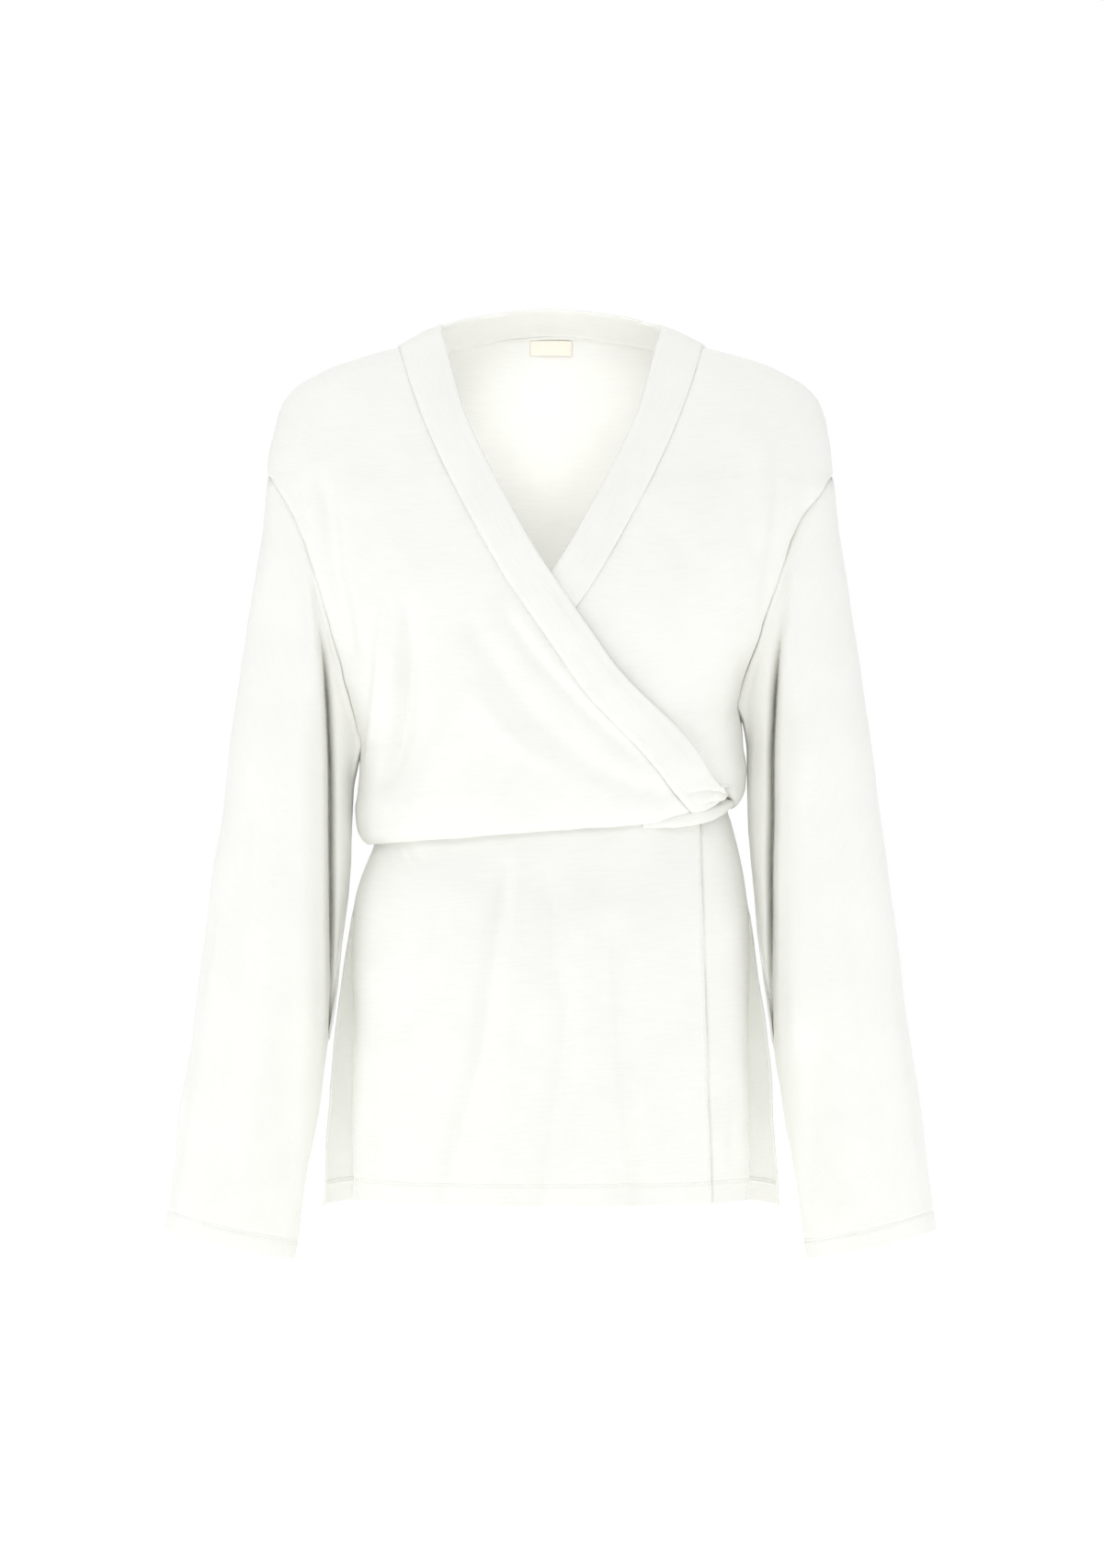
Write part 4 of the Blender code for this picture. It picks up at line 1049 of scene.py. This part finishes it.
def build_bodice():
    """Place the back and both fronts; returns them as dressed."""
    back = displaced("bodice_back", flat_back, True, ("top", "first", "last"), 11)
    right = displaced("bodice_front_right", flat_right, False, ("first", "last"), 23)
    left = displaced("bodice_front_left", flat_left, True, ("first", "last"), 37)
    row = np.arange(len(back))
    held = np.maximum(ramp(row, TOP_ROW + 4, TOP_ROW), ramp(row, UNDERARM_ROW - 4, UNDERARM_ROW))
    back, right, left = sew_both(back, right, left, held)
    add_panel("bodice_back", back, CLOTH, True)
    add_panel("bodice_front_right", right, CLOTH, False)
    add_panel("bodice_front_left", left, CLOTH, True)
    return back, right, left


def round_neck(right, back, left):
    """One line from the end of the wrap round the neck to the underlap's end."""
    return np.concatenate([right[::-1], back[1:-1], left])


def build_neckband():
    """The band stands on the dressed seam; it rises from the plain figure."""
    last_right, last_left = len(right) - 2 * BLOUSE_SPLIT, len(left) - 4 * BLOUSE_SPLIT
    plain_right, plain_left = flat_right[:last_right, -1], flat_left[:last_left, -1]
    seam = round_neck(right[:last_right, -1], back[0], left[:last_left, -1])
    free = round_neck(band_front(-1, plain_right), band_back(len(back[0])), band_front(1, plain_left))
    plain = round_neck(plain_right, flat_back[0], plain_left)
    seam_tail, free_tail = band_tail(seam, free)
    seam, free = np.concatenate([seam_tail, seam]), np.concatenate([free_tail, free])
    plain = np.concatenate([seam_tail, plain])
    out = unit(np.cross(unit(free - plain), unit(np.gradient(plain, axis=0))))

    share = np.linspace(0, 1, BAND_COLUMNS + 1)[:, None] ** 1.3
    across = share * np.linalg.norm(free - seam, axis=-1)
    run = np.cumsum(np.linalg.norm(np.diff(seam, axis=0, prepend=seam[:1]), axis=-1))[None]
    band = seam + (free - seam) * share[..., None]
    x, z, height = band[..., 0], band[..., 2], seam[:, 2]
    low = ramp(height, *SINK_Z) * ramp(height, *SINK_END_Z)
    at_end = ramp(x, *TAIL_X) * ramp(z, *TAIL_Z)
    rise = BAND_STEP * (ramp(across, *STEP_ACROSS) - 0.5 * ramp(across, *THIN_ACROSS))
    rise = rise + 4 * BAND_ARCH * share * (1 - share) - BAND_SINK * ramp(across, *SINK_ACROSS) * low
    rise = rise + BAND_WAVE * waves(run, across * 0.4, 5, 52)
    rise = rise + BAND_RIPPLE * waves(run, across * 0.3, 6, 14)
    rise = rise + fold_sum(x, z, TAIL_CREASES, 5 * MM) * at_end
    band = band + out * rise[..., None]
    add_panel("neckband", band, BAND_CLOTH, True, material=band_jersey)


def build_gather():
    """The gathered cloth below the band's end."""
    x = np.linspace(GATHER[0][0], GATHER[-1][0], GATHER_COLUMNS + 1) * MM
    low, high = curve(GATHER, x, 2), curve(GATHER, x, 1)
    size = GATHER_SLIM + (1 - GATHER_SLIM) * ramp(x, *GATHER_SIZE_X)
    lift = LAYER * (1 - 0.5 * ramp(x, *GATHER_LOWER_X))
    rows = []
    for down, out_by in split_rows(GATHER_SECTION, GATHER_SPLIT):
        out = out_by * MM * size
        depth = section_depth(x, WAIST_SIDE + out, WAIST_FRONT + out, FRONT_ROUNDNESS)
        rows.append(np.stack([x, -depth - lift, high + (low - high) * down], -1))
    grid = np.array(rows)
    uneven = GATHER_WAVE * waves(grid[..., 0], grid[..., 2] * 2, 8, 13, 8)
    grid = grid + normals_of(grid, False) * uneven[..., None]
    return place("bodice_front_right_gather", shell("gather", grid, CLOTH, True), jersey)


def arm_folds(side, angle, z):
    """Height of the folds round a sleeve."""
    total = np.zeros(z.shape)
    for path, half_width, height, power in ARM_FOLDS[side]:
        centre = math.radians(np.mean([point[0] for point in path]))
        near = (angle - centre + math.pi) % (2 * math.pi) - math.pi
        flat = [((math.radians(turn) - centre) * ARM_ROUND / MM, at) for turn, at in path]
        total += fold_sum(near * ARM_ROUND, z, ((flat, half_width, height, power),), ARM_FADE)
    return total


def deep_fold(side, angle, x, z, away):
    """Height of the deep fold and the crease along it; x is the distance from the centre."""
    fold = fold_sum(x, z, ((DEEP_PATHS[side], *DEEP_FOLD),), DEEP_FADE)
    crease = fold_sum(x, z, ((DEEP_PATHS[side], *DEEP_CREASE),), DEEP_FADE)
    total = fold * (0.3 + 0.7 * ramp(z, *DEEP_Z))
    total += crease * ramp(z, *DEEP_CREASE_Z) * (1 - 0.7 * ramp(z, *DEEP_CREASE_END_Z))
    return total * ramp(np.sin(angle), 0, 0.3) * ramp(away, *DEEP_AWAY)


def build_sleeve(side, name, front, flat_front, flip, seed):
    turn = sleeve_turns()
    smooth = sleeve_grid(side, armhole_loop(flat_front, flat_back, side, turn), turn)
    x, y, z = np.moveaxis(smooth, -1, 0)
    angle = np.broadcast_to(turn, x.shape)
    away, up = reach_in(smooth, "top"), reach_in(smooth, "bottom")
    uneven = WAVE * waves(y, z * 0.5, seed, 40) + RIPPLE * waves(y, z * 0.7, seed + 1, 13)
    out = arm_folds(side, angle, z) * ramp(away, *ARM_FOLDS_AWAY) + uneven * ramp(away, *ARM_WAVES_AWAY)
    out = out + seam_dip(away, angle * ARM_ROUND, seed + 3) + groove(up, CUFF_STITCHES)
    grid = smooth + normals_of(smooth, flip, True) * out[..., None]
    grid[..., 1] -= deep_fold(side, angle, abs(x), z, away)
    grid = settle(grid, armhole_loop(front, back, side, turn) - grid[0], "top", ARMHOLE_SPAN)
    turned = ramp(up, CUFF_TURN, CUFF_TURN - TURN_STEP)
    add_panel(name, grid, CLOTH * (1 + CUFF_DOUBLE * turned), flip, True)
    cuts[name] = (smooth, True)     # its sheet is measured without the folds
    normals = normals_of(grid, flip, True)
    for number, at in enumerate(CUFF_STITCHES):
        row = int(np.argmin(abs(up[:, 0] - at)))
        lines[f"{name}_cuff_{number}"] = (grid[row], normals[row], True)


def is_free(name, edge):
    """Whether an edge of the peplum is open all the way up."""
    return edge == "last" and name != "peplum_back"


def peplum_panel(name, grid, seed):
    """A panel of the peplum with its folds, seams and the grooves of its stitches."""
    extra = groove(reach_in(grid, "bottom"), HEM_STITCHES)
    opened = ramp(grid[..., 2], *OPENED_Z)
    for edge in ("first", "last"):
        away = reach_in(grid, edge)
        stitched = groove(away, (EDGE_STITCH,))
        if is_free(name, edge):
            extra = extra + stitched * 0.35
        else:
            extra = extra + stitched * opened - SEAM_DIP * bell(away, SEAM_WIDTH) * (1 - opened)
    if name == "peplum_front_left":
        # the overlap's edge presses into it
        beside = grid[..., 0] - curve(PEPLUM_EDGE, grid[..., 2]) - PRESS_AWAY
        extra = extra - PRESS * bell(beside, PRESS_WIDTH)
    return displaced(name, grid, name != "peplum_front_right", (), seed, extra)


def finish_peplum(name, grid):
    """Place a panel, double at its turned edges, and note its rows of stitches."""
    flip = name != "peplum_front_right"
    up, normals = reach_in(grid, "bottom"), normals_of(grid, flip)
    turned = ramp(up, HEM_TURN, HEM_TURN - TURN_STEP)
    for number, at in enumerate(HEM_STITCHES):
        row = int(np.argmin(abs(up[:, 40] - at)))
        lines[f"{name}_hem_{number}"] = (grid[row], normals[row], False)
    for edge in ("first", "last"):
        away = reach_in(grid, edge)
        turned = np.maximum(turned, ramp(away, EDGE_TURN, EDGE_TURN - EDGE_TURN_STEP))
        column = int(np.argmin(abs(away[60] - EDGE_STITCH)))
        start = 3 if is_free(name, edge) else int(np.argmin(abs(grid[:, 0, 2] - SLIT_TOP_Z)))
        lines[f"{name}_{edge}"] = (grid[start:, column], normals[start:, column], False)
    add_panel(name, grid, CLOTH * (1 + HEM_DOUBLE * turned), flip)


def build_peplum():
    """Place the peplum's three panels; returns the underlap."""
    back = peplum_panel("peplum_back", peplum_back_grid(), 71)
    right = peplum_panel("peplum_front_right", peplum_front_grid(-1), 83)
    left = peplum_panel("peplum_front_left", peplum_front_grid(1), 97)
    held = ramp(back[:, 0, 2], *SLIT_SEWN_Z)
    held[:3] = 0
    back, right, left = sew_both(back, right, left, held)
    finish_peplum("peplum_back", back)
    finish_peplum("peplum_front_right", right)
    finish_peplum("peplum_front_left", left)
    return left


def label_grid():
    """The blank label inside the back neck, and the stitches at its ends."""
    x = np.linspace(-LABEL_WIDTH / 2, LABEL_WIDTH / 2, LABEL_COLUMNS)
    rows = []
    for down in np.linspace(0, LABEL_HEIGHT, LABEL_ROWS):
        height = NECK_POINT_Z - LABEL_DROP - down
        reach, whole, depth, roundness = bodice_section(height, front=False)
        y = section_depth(x, whole, depth, roundness) - CLOTH - 1.0 * MM
        rows.append(np.stack([x, y, height + crown(height, x, reach)], -1))
    grid = np.array(rows)
    forward = np.tile((0.0, -1.0, 0.0), (LABEL_ROWS, 1))
    for name, column in (("label_right", 1), ("label_left", -2)):
        lines[name] = (grid[:, column] + forward * 0.5 * MM, forward, False)
    return grid


def tack_lines(under):
    """The bar tack: single stitches one below the other, on the underlap."""
    x = np.linspace(*TACK_X, 5)
    for number, z in enumerate(TACK_Z):
        near = np.argmin(np.hypot(under[..., 0] - x[2], under[..., 2] - z))
        y = under[..., 1].ravel()[near]
        points = np.stack([x, np.full(5, y), np.full(5, z)], -1)
        lines[f"tack_{number}"] = (points, np.tile((0.3, -0.95, 0.0), (5, 1)), False)


def stitch_row(name, points, normals, closed):
    """Single stitches of thread, lying in their groove along a line on the cloth."""
    if closed:
        points, normals = np.vstack([points, points[:1]]), np.vstack([normals, normals[:1]])
    run = np.concatenate([[0], np.cumsum(np.linalg.norm(np.diff(points, axis=0), axis=-1))])
    length = run[-1] - 2 * STITCH_MARGIN
    count = max(int(length / STITCH_PITCH), 1)
    shares, sizes, lifts = np.array(STITCH).T
    verts, faces = [], []
    for start in STITCH_MARGIN + np.arange(count) * length / count:
        stations = start + STITCH_LENGTH * shares
        middle, normal = interpolate(stations, run, points), unit(interpolate(stations, run, normals))
        aside = unit(np.cross(normal, unit(middle[-1] - middle[0])))
        middle = middle + normal * lifts[:, None] * THREAD
        first = len(verts)
        for centre, up, right_way, size in zip(middle, normal, aside, sizes):
            for k in range(6 if size else 1):
                turn = math.pi * k / 3
                around = right_way * math.cos(turn) + up * math.sin(turn)
                verts.append(centre + around * THREAD / 2 * size)
        last = len(verts) - 1
        for k in range(6):
            after = (k + 1) % 6
            faces.append((first, first + 1 + after, first + 1 + k))
            for ring in (first + 1, first + 7):
                faces.append((ring + k, ring + after, ring + 6 + after, ring + 6 + k))
            faces.append((last, first + 13 + k, first + 13 + after))
    mesh = bpy.data.meshes.new(name)
    mesh.from_pydata(verts, [], faces)
    mesh.shade_smooth()
    return mesh


cuts = {}                       # each panel's grid, and whether it is a tube
lines = {}                      # rows of stitches: points on the cloth, its normals, closed or not

flat_back, flat_right, flat_left = back_grid(), front_grid(-1), front_grid(1)
back, right, left = build_bodice()
build_neckband()
gather_piece = build_gather()
build_sleeve(-1, "sleeve_right", right, flat_right, False, 41)
build_sleeve(1, "sleeve_left", left, flat_left, True, 59)
underlap = build_peplum()
label = label_grid()
tack_lines(underlap)
for name, line in lines.items():
    place("stitches_" + name, stitch_row(name, *line), thread)
add_panel("neck_label", label, LABEL_CLOTH, True, material=label_cloth)

# ---- cloth sizes

CREASE_CLOTH = 40 * MM          # taken up by the deep crease of a sleeve
CREASE_LENGTH = 450 * MM
BAND_CUT = 34 * MM              # width of the band that shows


def cut_size(grid, closed):
    """Width at the widest row, length from the top point down the middle, area of one side."""
    if closed:
        grid = np.concatenate([grid, grid[:, :1]], axis=1)
    wide = np.linalg.norm(np.diff(grid, axis=1), axis=-1).sum(1).max()
    middle = grid[:, grid.shape[1] // 2]
    long = np.linalg.norm(np.diff(middle, axis=0), axis=-1).sum()
    long = long + max(grid[..., 2].max() - middle[0, 2], 0)
    one, other = grid[1:, 1:] - grid[:-1, :-1], grid[1:, :-1] - grid[:-1, 1:]
    return float(wide), float(long), float(np.linalg.norm(np.cross(one, other), axis=-1).sum() / 2)


for name, (grid, closed) in cuts.items():
    wide, long, area = cut_size(grid, closed)
    if closed:
        wide, area = wide + CREASE_CLOTH, area + CREASE_CLOTH * CREASE_LENGTH
    if name == "neckband":
        wide, long = BAND_CUT, wide

# ---- floor, light, camera

FLOOR_Z = -0.76
FLOOR_RADIUS = 2.6
FLOOR_STEPS = 96
SOFT_WHITE = (0.975, 0.97, 1)
NECK_WHITE = (0.975, 0.965, 1)
# name, place, the point it shines on, size, power, colour
LIGHTS = (
    ("right_side", (-2.9, -0.8, 0.3), (0, 0, -0.35), (1.6, 2.2), 13, SOFT_WHITE),
    ("left_side", (2.9, -0.8, 0.3), (0, 0, -0.35), (1.6, 2.2), 12, SOFT_WHITE),
    ("front", (-0.6, -2.9, 2.3), (0, 0, -0.2), (2, 1.5), 28.5, SOFT_WHITE),
    ("low", (0.4, -3, -1.3), (0, 0, -0.4), (2, 1.5), 9, SOFT_WHITE),
    ("above", (0, 0, 2.3), (0, 0, 0), (2, 2), 19, SOFT_WHITE),
    ("behind", (0.4, 2.9, 1.2), (0, 0, -0.3), (2, 2), 9, SOFT_WHITE),
    ("inside_neck", (0, -0.035, -0.078), (0, 0.08, -0.046), (0.1, 0.095), 0.111, NECK_WHITE),
    ("inside_right_slit", (-0.05, 0, -0.55), (-0.16, 0.08, -0.55), (0.1, 0.2), 0.024, SOFT_WHITE),
    ("inside_left_slit", (0.05, 0, -0.55), (0.16, 0.08, -0.55), (0.1, 0.2), 0.024, SOFT_WHITE),
    ("beside_right_slit", (-0.178, -0.062, -0.58), (-0.16, 0.03, -0.56), (0.02, 0.14), 0.0018,
     SOFT_WHITE),
    ("beside_left_slit", (0.178, -0.062, -0.58), (0.16, 0.03, -0.56), (0.02, 0.14), 0.0018,
     SOFT_WHITE),
)


def make_floor():
    turns = 2 * math.pi * np.arange(FLOOR_STEPS) / FLOOR_STEPS
    rim = [(FLOOR_RADIUS * math.cos(turn), FLOOR_RADIUS * math.sin(turn), FLOOR_Z) for turn in turns]
    faces = [(0, i + 1, (i + 1) % FLOOR_STEPS + 1) for i in range(FLOOR_STEPS)]
    mesh = bpy.data.meshes.new("floor")
    mesh.from_pydata([(0, 0, FLOOR_Z)] + rim, [], faces)
    floor = bpy.data.objects.new("floor", mesh)
    bpy.context.scene.collection.objects.link(floor)
    material, _, _ = new_material("floor", Base_Color=(0.95, 0.95, 0.95, 1), Roughness=0.9,
                                  Emission_Color=(1, 1, 1, 1), Emission_Strength=0.5)
    mesh.materials.append(material)


def make_world():
    """Pale light from all round; the camera itself sees white."""
    world = bpy.data.worlds.new("studio")
    bpy.context.scene.world = world
    world.use_nodes = True
    tree = world.node_tree
    around = tree.nodes["Background"]
    set_sockets(around, {"Color": (0.985, 0.98, 1, 1), "Strength": 0.58})
    shown = add_node(tree, "Background", {"Color": (1, 1, 1, 1), "Strength": 1.0})
    seen = add_node(tree, "LightPath").outputs["Is Camera Ray"]
    either = add_node(tree, "MixShader", {0: seen, 1: around.outputs[0], 2: shown.outputs[0]})
    set_sockets(tree.nodes["World Output"], {"Surface": either.outputs[0]})


def add_light(name, place_at, look_at, size, power, colour):
    data = bpy.data.lights.new(name, "AREA")
    data.shape = "RECTANGLE"
    data.size, data.size_y = size
    data.energy = power
    data.color = colour
    light = bpy.data.objects.new(name, data)
    light.location = place_at
    light.visible_camera = False
    light.rotation_euler = (Vector(look_at) - Vector(place_at)).to_track_quat("-Z", "Y").to_euler()
    bpy.context.scene.collection.objects.link(light)


make_floor()
make_world()
for light in LIGHTS:
    add_light(*light)

camera_data = bpy.data.cameras.new("camera")
camera_data.sensor_width = 36
camera_data.lens = 135.7
camera = bpy.data.objects.new("camera", camera_data)
camera.location = (0.0005, -4.5, -0.334)
camera.rotation_euler = (math.pi / 2, 0, 0)
bpy.context.scene.collection.objects.link(camera)
bpy.context.scene.camera = camera
bpy.context.scene.view_settings.view_transform = "Standard"
